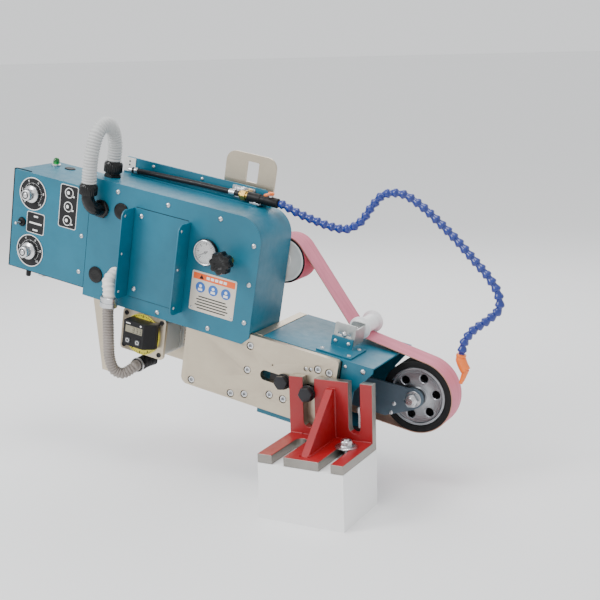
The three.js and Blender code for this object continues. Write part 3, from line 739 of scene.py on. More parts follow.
# ---- contact wheel ----
def wheel_pieces():
    x, z = WHEEL.x, WHEEL.z
    rim = WHEEL_RADIUS - 12
    hub = Piece("contact_wheel_turned_hub", "hub", "contact_wheel", "machined_aluminium")
    front, back = BELT_FRONT + 1, BELT_BACK - 1
    hub.turn(WHEEL, [(8.4, front), (17, front), (17.6, front + 0.6), (18, front + 3), (19.5, front + 3.6),
        (47, front + 3.6), (48.5, front + 3), (49, front + 0.6), (49.6, front), (rim - 0.8, front),
        (rim, front + 0.8), (rim, back - 0.8), (rim - 0.8, back), (rim - 6, back), (rim - 6.5, front + 13),
        (20, front + 13), (20, back - 2), (8.4, back - 2)], segments=96, closed=True)
    holes = Piece("holes", "hub", "contact_wheel")
    for k in range(6):
        angle = k * math.pi / 3 + 0.35
        spot = (x + 36 * math.cos(angle), 0, z + 36 * math.sin(angle))
        holes.turn(spot, [(0, front - 2), (9, front - 2), (9, front + 3.5), (7.6, front + 5), (7.6, back),
            (0, back)], segments=32)
    hub.done(("contact_wheel_hub",), cutters=holes, bevel=0.25)
    # A back web closes the six holes; its dark grey is painted shade that makes the holes read as shadowed.
    web = Piece("contact_wheel_inner_web", "hub_back_painted_shade", "contact_wheel", "machined_aluminium")
    web.turn(WHEEL, [(20.2, back - 14), (rim - 6.6, back - 14), (rim - 6.6, back - 9), (20.2, back - 9)],
        segments=64, closed=True)
    web.done()

    tyre = Piece("contact_wheel_rubber", "tyre", "contact_wheel", "tyre_rubber")
    lip = 1.6
    edge = [(WHEEL_RADIUS - lip + lip * math.sin(a), BELT_FRONT + lip - lip * math.cos(a)) for a in (0, 0.5,
        1.05, 1.57)]
    other = [(r, BELT_FRONT + BELT_BACK - y) for r, y in reversed(edge)]
    grooves = []
    for k in range(1, 12):
        y = BELT_FRONT + 2 + k * 4
        grooves += [(WHEEL_RADIUS, y - 0.5), (WHEEL_RADIUS - 0.7, y - 0.3), (WHEEL_RADIUS - 0.7, y + 0.3),
            (WHEEL_RADIUS, y + 0.5)]
    tyre.turn(WHEEL, [(rim + 0.3, BELT_FRONT + 0.6), (rim + 0.8,
        BELT_FRONT)] + edge + grooves + other + [(rim + 0.8, BELT_BACK), (rim + 0.3, BELT_BACK - 0.6)],
        segments=96, closed=True)
    tyre.done(("contact_wheel_tyre",))

    arm = Piece("contact_arm_finished", "arm", slot="arm_steel").copy("contact_arm")
    arm.use("zinc")
    for sx, sz in ((117, -20), (114, -38)):
        button_screw(arm, sx, sz, REAR_FACE, 4.2, 2.2)
    arm.done(("contact_arm",), bevel=0.7)
    axle = Piece("wheel_axle_bolt", "zinc", slot="zinc_steel")
    axle.turn(WHEEL, [(0, 84), (6.4, 84), (7.8, 85.4)] + [(8 if k % 2 else 7.2,
        86 + k * 0.9) for k in range(8)] + [(8, 94), (8, 169), (12, 169.4), (12, 171), (0, 171)],
        segments=32)
    hexagon(axle, WHEEL, "Y", 22, 171, 180)
    axle.done(("wheel_axle",), bevel=0.2)
    nut = Piece("axle_hex_nut", "zinc", slot="zinc_steel")
    washer(nut, WHEEL, "Y", 15, 104, 101)
    hexagon(nut, WHEEL, "Y", 23, 101, 88.5, 0.25)
    nut.turn(WHEEL, [(0, 89), (10.5, 89), (10.5, 87.4), (9, 86.6), (8.2, 86.6), (0, 86.8)], segments=32)
    nut.done(("axle_nut",), bevel=0.25)


# ---- drum, drive pulley and guide roller ----
def pulley_pieces():
    front, back = BELT_FRONT - 2, BELT_BACK + 2
    # The barrel takes the deep pink of the belt in shadow: painted shade, not a colour of its own.
    drum = Piece("drum_barrel_painted_shade", "lagging", "drum", "drum_lagging")
    drum.turn(DRUM, [(36, front + 2), (DRUM_RADIUS - 0.6, front + 2), (DRUM_RADIUS, front + 2.6),
        (DRUM_RADIUS, back - 0.8), (DRUM_RADIUS - 0.8, back), (8.4, back), (8.4, front + 8),
        (36, front + 8)], segments=72, closed=True)
    drum.use("gasket").turn(DRUM, [(39.5, front + 0.8), (DRUM_RADIUS - 1, front + 0.8),
        (DRUM_RADIUS - 0.4, front + 1.4), (DRUM_RADIUS - 0.4, front + 2.1), (39.5, front + 2.1)],
        segments=72, closed=True)
    drum.use("disc").turn(DRUM, [(8.4, front + 0.6), (14, front + 0.6), (15, front + 1.6), (34, front + 1.6),
        (36, front + 0.2), (39, front), (40.4, front + 0.6), (40.4, front + 3), (8.4, front + 3)],
        segments=72, closed=True)
    drum.done(("drum",))
    axle = Piece("drum_axle_bolt", "zinc", slot="zinc_steel")
    axle.turn(DRUM, [(0, REAR_BACK + 0.3), (8, REAR_BACK + 0.3), (8, 172), (12, 172.2), (12, 174), (0, 174)],
        segments=28)
    hexagon(axle, DRUM, "Y", 19, 174, 180)
    axle.done(("drum_axle",), bevel=0.2)

    r = DRIVE_RADIUS
    drive = Piece("drive_pulley_turned", "drive", "drive", "machined_aluminium")
    drive.turn(DRIVE, [(9.4, front + 1), (r - 1, front + 1), (r - 0.3, front + 2), (r, (front + back) / 2),
        (r - 0.3, back - 2), (r - 1, back - 1), (r - 8, back - 1), (r - 9, back - 3), (r - 9, front + 16),
        (22, front + 16), (20, front + 18), (20, back - 1), (9.4, back - 1)], segments=80, closed=True)
    pockets = Piece("pockets", "drive", "drive")
    for k in range(5):
        angle = k * math.tau / 5 + 0.2
        spot = (DRIVE.x + 36 * math.cos(angle), 0, DRIVE.z + 36 * math.sin(angle))
        pockets.turn(spot, [(0, front - 2), (8.5, front - 2), (8.5, back), (0, back)], segments=28)
    drive.done(("drive_pulley",), cutters=pockets, bevel=0.3)
    shaft = Piece("motor_shaft_turned", "zinc", "drive", "zinc_steel")
    shaft.turn(DRIVE, [(0, 105), (8.9, 105), (8.9, 172.6), (7.8, 174), (2, 174), (1.2, 172.5), (0, 172)],
        segments=32)
    shaft.done(("motor_shaft",))

    roller = Piece("guide_roller_moulded", "nylon", "roller", "roller_nylon")
    n, f = ROLLER_RADIUS, 21
    roller.turn(ROLLER, [(4.4, 107.4), (13, 107), (15, 107.8), (15.6, 110), (17.4, 111), (17.6, 112),
        (f - 1, 112.6), (f, 113.6), (f, 115.6), (f - 1, 116.6), (n + 1.2, 117), (n, 118.2), (n, 130),
        (n + 0.1, 143), (n, 156), (n, 167.6), (n + 1.2, 168.8), (f - 1, 169.4), (f, 170.4), (f, 172),
        (f - 1, 173), (13, 173.8), (4.4, 174)], segments=64, closed=True)
    roller.done(("guide_roller",), sharp=50)
    pin = Piece("roller_axle_bolt", "zinc", slot="zinc_steel")
    pin.turn(ROLLER, [(0, 96), (4, 96), (4, 181), (3, 182), (0, 182)], segments=20)
    hexagon(pin, ROLLER, "Y", 12.4, 100.4, 96.2)
    hexagon(pin, ROLLER, "Y", 12.4, 177, 181.6)
    pin.done(("roller_axle",), bevel=0.2)

    holder = Piece("roller_bracket_galvanised", "galvanised", slot="zinc_steel").copy("roller_bracket")
    slots = Piece("slots", "galvanised")
    for sx in (10, 27):
        slots.plate(rounded(sx - 4.6, sx + 4.6, 93, 98, [2.4] * 4), 58, 70)
    holder.done(("roller_bracket",), bevel=0.5, cutters=slots)
    foot = Piece("roller_foot_painted", "teal", slot="teal_paint").copy("roller_foot")
    foot.done(("roller_foot",), bevel=0.6)
    screws = Piece("roller_mount_screws", "zinc", slot="zinc_steel")
    for sx in (4, 30):
        button_screw(screws, sx, 81, 58.9, 3.8, 2.2)
    button_screw(screws, 18, 95.5, 62.2, 5, 2.8)
    for sx, sy in ((-6, 74), (46, 74), (46, 30), (-6, 30)):
        screws.turn((sx, sy, 0), [(0, 71.2), (4, 71.2), (3.6, 72.4), (2, 73.3), (0, 73.5)], "Z", 20)
    screws.done()


# ---- abrasive belt ----
def belt_piece():
    """The same loop as the CAD belt, worked out from the pulleys' centres, with finer arcs."""
    skin = 0.3
    stations = [(WHEEL, WHEEL_RADIUS + skin, 1), (ROLLER, ROLLER_RADIUS + skin + BELT_THICK, -1),
        (DRUM, DRUM_RADIUS + skin, 1), (DRIVE, DRIVE_RADIUS + skin, 1)]

    def heading(a, b):
        dx, dz = b[0].x - a[0].x, b[0].z - a[0].z
        return math.atan2(dz, dx) - math.asin((b[2] * b[1] - a[2] * a[1]) / math.hypot(dx, dz))

    headings = [heading(a, stations[(k + 1) % 4]) for k, a in enumerate(stations)]
    inner, outer = [], []
    for k, (centre, radius, side) in enumerate(stations):
        start = headings[k - 1]
        turn = (headings[k] - start + math.pi) % math.tau - math.pi
        if side > 0 and turn < 0:
            turn += math.tau
        steps = max(6, round(abs(turn) / 0.05))
        for i in range(steps + 1):
            angle = start + turn * i / steps - side * math.pi / 2
            for line, r in ((inner, radius), (outer, radius + side * BELT_THICK)):
                line.append((centre.x + r * math.cos(angle), centre.z + r * math.sin(angle)))
    belt = Piece("abrasive_belt_loop", "belt", slot="belt_cloth")
    rows = []
    for line, y in ((outer, BELT_FRONT), (outer, BELT_BACK), (inner, BELT_BACK), (inner, BELT_FRONT)):
        rows.append([belt.bm.verts.new((x, y, z)) for x, z in line])
    for k, look in enumerate(("belt", "belt_back", "belt_back", "belt_back")):
        belt.use(look).faces([rows[k], rows[(k + 1) % 4]], caps=False)
    belt.done(("abrasive_belt",), sharp=50)


# ---- motor and speed display ----
def motor_pieces():
    flange = Piece("motor_flange_plate", "plate", slot="frame_steel").copy("motor_flange")
    flange.done(("motor_flange",), bevel=0.8)
    body = Piece("motor_body_painted", "motor", slot="motor_grey").copy("motor_body")
    grooves = Piece("grooves", "motor")
    left, right, bottom, top = -409, -318, -35, 42.5
    for y in (58, 66, 92):
        outer = rounded(left - 2, right + 2, bottom - 2, top + 2, [16] * 4)
        inner = rounded(left + 1.6, right - 1.6, bottom + 1.6, top - 1.6, [13] * 4)
        rows = [[grooves.bm.verts.new((x, yy, z)) for x, z in line] for line,
            yy in ((outer, y), (outer, y + 2), (inner, y + 2), (inner, y))]
        grooves.faces(rows + [rows[0]], caps=False)
    body.done(("motor_body",), bevel=1.2, cutters=grooves)
    trim = Piece("motor_flange_screws", "black_steel", slot="black_steel")
    for x in (-404, -324):
        for z in (-28, 36):
            cap_screw(trim, x, z, 0.5, 4.6, 2.2, 2.1)
    trim.use("label").box(-317.9, -317.4, 74, 90, -20, 28)
    trim.use("ink")
    for k in range(6):
        trim.box(-317.5, -317.2, 76, 88 - (k % 3) * 2.5, -14 + k * 6.4, -12.4 + k * 6.4)
    trim.done()

    disc = Piece("speed_scale_disc", "yellow", slot="disc_yellow")
    centre = (-365, 0, 3)
    disc.turn(centre, [(0, 0.2), (39.6, 0.2), (40, -0.4), (40, -1.8), (39.4, -2.3), (0, -2.3)], segments=72)
    disc.use("ink")
    for k in range(60):
        angle = math.tau * k / 60
        deep = 33 if k % 5 == 0 else 35.5
        c, s = math.cos(angle), math.sin(angle)
        wide = 1 if k % 5 == 0 else 0.6
        disc.plate([(centre[0] + r * c - w * s, centre[2] + r * s + w * c) for r,
            w in ((deep, -wide), (38.4, -wide), (38.4, wide), (deep, wide))], -2.45, -2.2)
    disc.done(("speed_disc",))

    housing = Piece("speed_display_housing", "black", slot="black_plastic").copy("speed_display")
    windows = Piece("windows", "black")
    windows.box(-384.5, -346, -31, -29.2, 11, 25)
    housing.done(("speed_display",), bevel=1.0, cutters=windows)
    panel = Piece("speed_display_screen", "lcd", slot="black_plastic")
    panel.box(-384, -346.5, -29.3, -28.9, 11.4, 24.6)
    panel.use("digit")
    for x in (-366, -358, -351):
        for dz in (13.6, 18, 22.2):
            panel.box(x - 2, x + 2, -29.6, -29.25, dz - 0.4, dz + 0.4)
        panel.box(x + 1.7, x + 2.4, -29.6, -29.25, 14, 22)
    panel.use("paper").box(-383, -373, -30.25, -29.9, 28.2, 30)
    panel.turn((-350, 0, 29.2), [(0, -29.9), (1.8, -29.9), (1.8, -30.3), (0, -30.3)], segments=16)
    panel.done()
    for name, x in (("left", -376), ("right", -354)):
        key = Piece(f"display_key_{name}", "button", f"button_{name}", "button_plastic")
        key.plate(rounded(x - 5, x + 5, -9, 1, [1.5] * 4), -31.5, -28)
        key.use("paper")
        key.turn((x, 0, -4), [(2.8, -31.4), (3.6, -31.4), (3.6, -31.7), (2.8, -31.7)], segments=24,
            closed=True)
        key.done((f"display_button_{name}",), bevel=0.35)


# ---- main box ----
COVER_SCREWS = [(-446.4, 261.5), (-334.9, 261.5), (-223.3, 261.5), (-150.2, 229), (-150.2, 157),
    (-150.2, 86), (-223.6, 55.2), (-335, 55.2)]


def box_pieces():
    shell = Piece("box_shell_painted", "teal", slot="teal_paint").copy("box_shell")
    shell.done(("box_shell",), bevel=0.5)
    cover = Piece("box_cover_painted", "teal", slot="teal_paint").copy("box_cover")
    cover.use("gasket")
    for z in (70.2, 242.4):
        cover.box(-403, -288, COVER_FACE - 0.7, COVER_FACE + 0.2, z, z + 0.9)
    cover.done(("box_cover",), bevel=0.8, segments=3)
    screws = Piece("box_cover_screws", "zinc", slot="zinc_steel")
    for x, z in COVER_SCREWS:
        button_screw(screws, x, z, COVER_FACE, 4.7, 2.6)
    for x, z in ((-389.5, 228), (-391, 87.5)):
        button_screw(screws, x, z, COVER_FACE - 1.2, 4.7, 2.6)
    screws.done()
    for side, x in (("left", -407), ("right", -284)):
        leaf = Piece(f"cover_flange_{side}_painted", "teal", slot="teal_paint")
        sheet = [(0, 70), (-28, 70), (-34, 73), (-38, 80), (-38, 231), (-34, 238), (-28, 241), (0, 241)]
        leaf.faces([[leaf.bm.verts.new((at, COVER_FACE - 0.3 + y, z)) for y, z in sheet] for at in (x - 1.25,
            x + 1.25)])
        root = [(x - 1.2, COVER_FACE - 0.2), (x - 4.6, COVER_FACE - 0.2), (x - 2, COVER_FACE - 1),
            (x - 1.2, COVER_FACE - 3.6)]
        leaf.faces([[leaf.bm.verts.new((at, y, z)) for at, y in root] for z in (71, 240)])
        leaf.use("zinc")
        for z in (84, 157, 229):
            leaf.turn((0, -32, z), [(0, x + 1), (2.8, x + 1), (2.5, x + 2.1), (1.4, x + 2.8), (0, x + 3)],
                "X", 20)
        leaf.done((f"cover_flange_{side}",), bevel=0.5)
    for side, x, z in (("left", -480.5, 92.3), ("right", -435, 227)):
        plug = Piece(f"hole_plug_{side}_domed", "gloss_black", slot="black_plastic")
        plug.turn((x, 0, z), [(0, -0.5), (13.8, -0.5), (13.8, -3.8), (16, -3.9), (16, -4.6), (15.2, -5.8),
            (13, -6.4), (8, -6.2), (0, -6)], segments=48)
        plug.done((f"hole_plug_{side}",))


def sticker(piece, base, x0, x1, z0, z1, face, corner=1.5):
    piece.use(base).plate(rounded(x0, x1, z0, z1, [corner] * 4, 3), face - 0.35, face - 0.02)


def label_pieces():
    """A warning plate with generic pictures and lines, and two printed panels."""
    face = COVER_FACE
    plate = Piece("warning_plate", "label", slot="teal_paint")
    x0, x1, z0, z1 = -268, -174, 82, 157
    sticker(plate, "label", x0, x1, z0, z1, face, 3)
    sticker(plate, "label_orange", x0 + 3, x1 - 3, z1 - 15, z1 - 3, face - 0.25, 1)
    plate.use("ink").plate([(x0 + 16, z1 - 13), (x0 + 25, z1 - 13), (x0 + 20.5, z1 - 5)], face - 0.75,
        face - 0.5)
    for k in range(5):
        plate.use("paper").box(x0 + 31 + k * 9, x0 + 37.5 + k * 9, face - 0.8, face - 0.5, z1 - 11.5,
            z1 - 6.5)
    for k in range(3):
        x = x0 + 20 + k * 27
        plate.use("label_blue").turn((x, 0, z1 - 29), [(0, face - 0.3), (10, face - 0.3), (10, face - 0.65),
            (0, face - 0.65)], segments=40)
        plate.use("paper").turn((x, 0, z1 - 26.5), [(0, face - 0.6), (3, face - 0.6), (3, face - 0.85),
            (0, face - 0.85)], segments=20)
        plate.box(x - 4.5, x + 4.5, face - 0.85, face - 0.6, z1 - 35.5, z1 - 31)
    for k, wide in enumerate((58, 66, 62, 70, 60)):
        middle = (x0 + x1) / 2
        z = z1 - 46.5 - k * 5.4
        plate.use("ink").box(middle - wide / 2, middle + wide / 2, face - 0.6, face - 0.3, z - 1, z + 1)
    for x in (x0 + 5, x1 - 5):
        plate.use("zinc").turn((x, 0, z0 + 5), [(0, face - 0.3), (2.4, face - 0.3), (1.8, face - 1.3),
            (0, face - 1.6)], segments=16)
    plate.done()

    small = Piece("switch_panel", "ink", slot="black_plastic")
    sticker(small, "paper", -654, -611, 137, 179, face, 4)
    sticker(small, "ink", -652.8, -612.2, 138.2, 177.8, face - 0.1, 3.4)
    for z, wide in ((171, 10), (157.5, 30), (144, 12)):
        small.use("paper").box(-632 - wide / 2, -632 + wide / 2, face - 0.6, face - 0.3, z - 1.6, z + 1.6)
    tall = (-577, -537, 167, 249)
    sticker(small, "paper", tall[0] - 1, tall[1] + 1, tall[2] - 1, tall[3] + 1, face, 4)
    sticker(small, "ink", tall[0] + 0.2, tall[1] - 0.2, tall[2] + 0.2, tall[3] - 0.2, face - 0.1, 3.4)
    for k in range(3):
        z = tall[3] - 14 - k * 27
        small.use("paper").turn((-557, 0, z), [(8.4, face - 0.3), (10, face - 0.3), (10, face - 0.6),
            (8.4, face - 0.6)], segments=32, closed=True)
        small.turn((-559, 0, z), [(0, face - 0.3), (3.4, face - 0.3), (3.4, face - 0.6), (0, face - 0.6)],
            segments=18)
        small.box(-551, -544, face - 0.6, face - 0.3, z - 7, z - 4)
    small.done()


# ---- gauge and regulator ----
def air_pieces():
    low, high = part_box("pressure_gauge")
    at = MACHINE.inverted() @ ((low + high) / 2)
    gauge = Piece("pressure_gauge_case", "gloss_black", slot="black_plastic")
    rim, dial = GAUGE_FACE, GAUGE_FACE + 5
    gauge.turn(at, [(0, -3.8), (23.4, -3.8), (24.4, -4.6), (24.4, rim + 2.4), (23.6, rim + 1.4),
        (21.6, rim + 1.4), (20.6, dial), (0, dial)], segments=64)
    gauge.use("zinc").turn(at, [(20.9, rim + 1.6), (21.2, rim + 0.4), (22.2, rim), (23, rim + 0.4),
        (23.3, rim + 1.6)], segments=64, closed=True)
    gauge.use("paper").turn(at, [(0, dial), (20.3, dial), (20.3, dial - 0.5), (0, dial - 0.5)], segments=48)
    gauge.use("ink")
    for k in range(25):
        angle = math.radians(225 - 270 * k / 24)
        c, s = math.cos(angle), math.sin(angle)
        deep, wide = (13.2, 0.8) if k % 4 == 0 else (15.8, 0.4)
        gauge.plate([(at.x + r * c - w * s, at.z + r * s + w * c) for r,
            w in ((deep, -wide), (18.4, -wide), (18.4, wide), (deep, wide))], dial - 0.75, dial - 0.4)
    angle = math.radians(212)
    c, s = math.cos(angle), math.sin(angle)
    gauge.plate([(at.x + r * c - w * s, at.z + r * s + w * c) for r,
        w in ((-6, -1.4), (16, -0.5), (16, 0.5), (-6, 1.4))], dial - 1.6, dial - 1.2)
    gauge.turn(at, [(0, dial - 0.4), (2.6, dial - 0.4), (2.6, dial - 2), (0, dial - 2)], segments=20)
    gauge.use("clear").turn(at, [(0, rim + 2), (20.8, rim + 2), (20.8, rim + 1.4), (0, rim + 1.4)],
        segments=48)
    gauge.done(("pressure_gauge",))

    centre = on_machine("regulator_turn")
    x, z = centre.x, centre.z
    knob = Piece("regulator_knob_moulded", "gloss_black", "regulator", "black_plastic")

    def lobed(r, y):
        ring = []
        for i in range(96):
            angle = math.tau * i / 96
            out = r + 1.9 * r / 21 * math.cos(KNOB_LOBES * angle)
            ring.append(knob.bm.verts.new((x + out * math.cos(angle), y, z + out * math.sin(angle))))
        return ring

    knob.faces([lobed(r, y) for r, y in ((17, -26), (19.4, -26.6), (19.6, -28), (19.6, -41), (18.4, -43.2),
        (15, -44), (9, -43.6), (8, -42.6), (3, -42.4))])
    knob.use("brass").turn((x, 0, z), [(0, -3.9), (7.9, -3.9), (7.9, -15), (6.4, -15.5), (6.4, -26),
        (0, -26)], segments=32)
    knob.done(("regulator_knob",), sharp=45)


# ---- control box ----
def dial_numbers(x, z, face):
    """Small printed numbers round a dial, as thin raised ink."""
    made = []
    for k in range(6):
        angle = math.radians(225 - 54 * k)
        data = bpy.data.curves.new(f"number_{k}", "FONT")
        data.body = str(k * 2)
        data.size = 6.4 * MM
        data.extrude = 0.12 * MM
        data.align_x = "CENTER"
        data.align_y = "CENTER"
        text = bpy.data.objects.new(f"number_{k}", data)
        bpy.context.scene.collection.objects.link(text)
        spot = Matrix.Translation((x + 26 * math.cos(angle), face, z + 26 * math.sin(angle)))
        text.matrix_world = MACHINE @ spot @ Matrix.Scale(1000, 4) @ Matrix.Rotation(math.pi / 2, 4, "X")
        bpy.context.view_layer.update()
        graph = bpy.context.evaluated_depsgraph_get()
        mesh = bpy.data.meshes.new_from_object(text.evaluated_get(graph))
        mesh.transform(text.matrix_world)
        mesh.transform(MACHINE.inverted())
        bpy.data.objects.remove(text)
        made.append(mesh)
    return made


def control_pieces():
    left, right, bottom, top = (CONTROL[k] for k in ("left", "right", "bottom", "top"))
    Piece("control_box_painted", "teal", slot="teal_paint").copy("control_box").done(("control_box",),
        bevel=0.8)
    panel = Piece("control_panel_painted", "teal", slot="teal_paint").copy("control_panel")
    panel.done(("control_panel",), bevel=0.9)
    gasket = Piece("control_panel_gasket", "gasket", slot="black_plastic")
    gasket.box(left - 2.6, left - 0.1, -3.4, 4, bottom - 1, top + 1.4)
    gasket.box(left, left + 34, 3, 5, top + 0.1, top + 1.4)
    gasket.box(left, right, -3.2, 2.2, bottom - 1.2, bottom - 0.1)
    gasket.box(right + 0.1, right + 0.5, -3.6, 1, bottom, top)
    gasket.done()
    screws = Piece("control_panel_screws", "zinc", slot="zinc_steel")
    for z in (230, 159, 88):
        button_screw(screws, -521, z, COVER_FACE, 4.4, 2.4)
    screws.done()

    for name, x, z, body, node in (("speed", -643, 214.5, "speed_dial", "belt_speed_dial"),
            ("oscillation", -641, 101, "oscillation_dial_body", "oscillation_dial")):
        face = COVER_FACE
        scale = Piece(f"{name}_dial_plate", "ink", slot="black_plastic")
        scale.turn((x, 0, z), [(0, face - 0.05), (32, face - 0.05), (32, face - 0.9), (0, face - 0.9)],
            segments=72)
        scale.use("paper").turn((x, 0, z), [(30.6, face - 0.8), (32.2, face - 0.8), (32.2, face - 1.15),
            (30.6, face - 1.15)], segments=72, closed=True)
        for k in range(31):
            angle = math.radians(225 - 9 * k)
            c, s = math.cos(angle), math.sin(angle)
            near = 19.4 if k % 3 == 0 else 20.4
            scale.plate([(x + r * c - w * s, z + r * s + w * c) for r,
                w in ((near, -0.3), (22, -0.3), (22, 0.3), (near, 0.3))], face - 1.1, face - 0.8)
        for mesh in dial_numbers(x, z, face - 1.0):
            before = len(scale.bm.faces)
            scale.bm.from_mesh(mesh)
            scale.bm.faces.ensure_lookup_table()
            for face_of_text in scale.bm.faces[before:]:
                face_of_text.material_index = scale.current
        scale.done()
        knob = Piece(f"{name}_dial_knob", "dial", body, "dial_aluminium")
        flutes = 36
        def fluted(r, y, depth=0.5):
            return [knob.bm.verts.new((x + (r - depth * (i % 2)) * math.cos(math.tau * i / (2 * flutes)), y,
                z + (r - depth * (i % 2)) * math.sin(math.tau * i / (2 * flutes)))) for i in
                range(2 * flutes)]
        knob.faces([fluted(3, -1, 0), fluted(3, -5, 0), fluted(16.4, -5, 0), fluted(17, -5.6),
            fluted(17, -10.4), fluted(16.4, -11, 0), fluted(11.6, -12, 0), fluted(11, -12.6),
            fluted(11, -25), fluted(10.4, -26.2, 0), fluted(9, -27, 0)])
        knob.use("ink").turn((x, 0, z), [(0, -26.9), (7.2, -26.9), (7.2, -27.25), (0, -27.25)], segments=32)
        knob.use("dial").turn((x, 0, z), [(0, -27.1), (5, -27.1), (4.6, -27.6), (0, -27.8)], segments=28)
        knob.done((node,), sharp=50)

    lever = Piece("toggle_lever", "zinc", "toggle", "zinc_steel")
    lever.turn((-665, 0, 154), [(0, -2), (3.4, -2), (3.4, -6), (2.2, -8), (2.9, -21), (2.6, -23.2),
        (1.4, -24), (0, -24)], segments=20)
    lever.done(("toggle_switch",))
    boot = Piece("toggle_boot", "black", slot="black_plastic")
    boot.turn((-665, 0, 154), [(5.4, -3.6), (9, -3.6), (9, -5), (8, -7), (6.6, -8.4), (5.2, -9), (5.2, -7)],
        segments=28, closed=True)
    boot.done()

    lamp_at = (-668, 92, 0)
    lamp = Piece("indicator_lamp_lens", "lens_green", slot="lamp_green")
    lamp.turn(lamp_at, [(0, top + 17), (3.2, top + 16.4), (5.6, top + 13.6), (6.4, top + 10),
        (6.8, top + 5.2), (0, top + 5.2)], "Z", 36)
    lamp.use("zinc").turn(lamp_at, [(0, top + 5.1), (7.4, top + 5.1), (8.8, top + 4.4), (9, top + 3.8),
        (9, top + 0.3), (5, top + 0.3), (5, top - 6), (0, top - 6)], "Z", 36)
    lamp.done(("indicator_lamp",))
    pad = Piece("control_box_glands", "black", slot="black_plastic")
    pad.turn((-636, 96, 0), [(0, top + 0.1), (11, top + 0.1), (11, top + 1.2), (10, top + 2), (0, top + 2)],
        "Z", 36)
    pad.turn((-655, 14, 0), [(0, bottom - 0.2), (6, bottom - 0.2), (6, bottom - 5), (5, bottom - 6),
        (5, bottom - 16), (4, bottom - 18), (0, bottom - 18)], "Z", 24)
    pad.use("zinc").turn((-622, 18, 0), [(0, bottom - 0.2), (10, bottom - 0.2), (10, bottom - 4),
        (8.4, bottom - 4.4, 6), (8.4, bottom - 9.5, 6), (6, bottom - 9.9), (5.4, bottom - 10),
        (0, bottom - 10)], "Z", 24)
    pad.done()


# ---- conduits ----
def corrugated(route, radius, pitch, depth, length):
    """Radii along a route for a ribbed sleeve."""
    count = round(length / pitch)
    radii = []
    for i in range(len(route)):
        wave = 0.5 - 0.5 * math.cos(math.tau * count * i / (len(route) - 1))
        radii.append(radius - depth + depth * wave ** 0.6)
    return radii


def conduit_pieces():
    upper = [(-494, -30, 270.5), (-494, -31, 300), (-494, -28, 335), (-493, -16, 368), (-492, 4, 379),
        (-491, 24, 368), (-490, 35, 340), (-490, 36, 306.5)]
    lower = [(-426, -30, 47.5), (-426, -30, 38), (-422, -30, 8), (-418, -30, -22), (-413, -29, -52),
        (-404, -24, -74), (-391, -15, -80), (-380, -5, -72), (-376, 2, -66), (-376, 9.5, -66)]
    for name, points, radius, look, slot, node in (("upper", upper, 14, "conduit", "conduit_grey",
            "upper_conduit"), ("lower", lower, 11, "sleeve", "conduit_brown", "lower_conduit")):
        route, length = smooth_path(points, 0.9)
        sleeve = Piece(f"{name}_conduit_sleeve", look, slot=slot)
        sleeve.tube(route, corrugated(route, radius, RIB_PITCH, RIB_DEPTH, length), 28, (1, 0, 0))
        sleeve.done((node,), sharp=70)

    elbow = Piece("upper_elbow_fitting", "gloss_black", slot="black_plastic")
    bend, _ = smooth_path([(-480, -4, 222), (-480, -12, 222), (-486, -25, 226), (-493, -30, 240),
        (-494, -30, 252)], 2)
    elbow.tube(bend, 12, 28)
    elbow.turn((-480, 0, 222), [(0, -3.8), (17, -3.8), (17, -5), (15.6, -5.4, 6), (15.6, -9, 6), (13, -10),
        (0, -10)], segments=24)
    ribbed_nut(elbow, (-494, -30, 0), 17, 250, 270)
    elbow.done(("upper_conduit_elbow",), bevel=0.3)
    top = BOX["top"]
    straight = Piece("upper_connector_fitting", "gloss_black", slot="black_plastic")
    straight.turn((-490, 36, 0), [(0, top + 0.3), (15, top + 0.3, 6), (15, top + 5, 6), (13.6, top + 6),
        (13.6, top + 9), (0, top + 9)], "Z", 24)
    ribbed_nut(straight, (-490, 36, 0), 17.6, top + 9, top + 29)
    straight.done(("upper_conduit_connector",), bevel=0.3)

    white = Piece("lower_elbow_fitting", "white", slot="elbow_white")
    bend, _ = smooth_path([(-434, -4, 103), (-434, -13, 103), (-433, -26, 95), (-427, -30, 80),
        (-426, -30, 66)], 1.6)
    white.tube(bend, [13 if k % 5 in (0, 1) else 11.6 for k in range(len(bend))], 28)
    white.turn((-434, 0, 103), [(0, -3.8), (16, -3.8), (16, -7), (13, -9), (0, -9)], segments=32)
    white.use("zinc").turn((-426, -30, 0), [(0, 69), (14.6, 69), (16.4, 67.6), (16.4, 63), (15.2, 62.4),
        (15.2, 58), (16.6, 57.4), (16.6, 49.4), (15, 48), (0, 48)], "Z", 40)
    white.done(("lower_conduit_elbow",), bevel=0.25)

    joint = Piece("lower_connector_fitting", "black", slot="black_plastic")
    run, _ = smooth_path([(-376, 10, -66), (-376, 18, -66), (-371, 34, -61), (-366, 50, -59)], 1.6)
    joint.tube(run, [13.2 if k % 6 else 12.4 for k in range(len(run))], 28, (1, 0, 0))
    joint.turn((-366, 46, 0), [(0, -60), (11, -60), (11, -38), (12.4, -37.6), (12.4, -35.5), (0, -35.5)],
        "Z", 28)
    joint.use("zinc").turn((-376, 0, -66), [(11, 10.2), (13.8, 10.2), (14.2, 11), (14.2, 13.4), (13.8, 14.2),
        (11, 14.2)], segments=40, closed=True)
    joint.done(("lower_conduit_connector",), bevel=0.2)


def ribbed_nut(piece, at, radius, z0, z1, ribs=24):
    """A gland nut with gripping ribs round it."""
    def ring(r, z, depth=0.9):
        return [piece.bm.verts.new((at[0] + (r - depth * (i % 4 > 1)) * math.cos(math.tau * i / (ribs * 4)),
            at[1] + (r - depth * (i % 4 > 1)) * math.sin(math.tau * i / (ribs * 4)),
            z)) for i in range(ribs * 4)]
    piece.faces([ring(radius - 3, z0, 0), ring(radius - 0.8, z0, 0), ring(radius, z0 + 1),
        ring(radius, z1 - 4), ring(radius - 1, z1 - 3, 0), ring(radius - 2, z1, 0)])


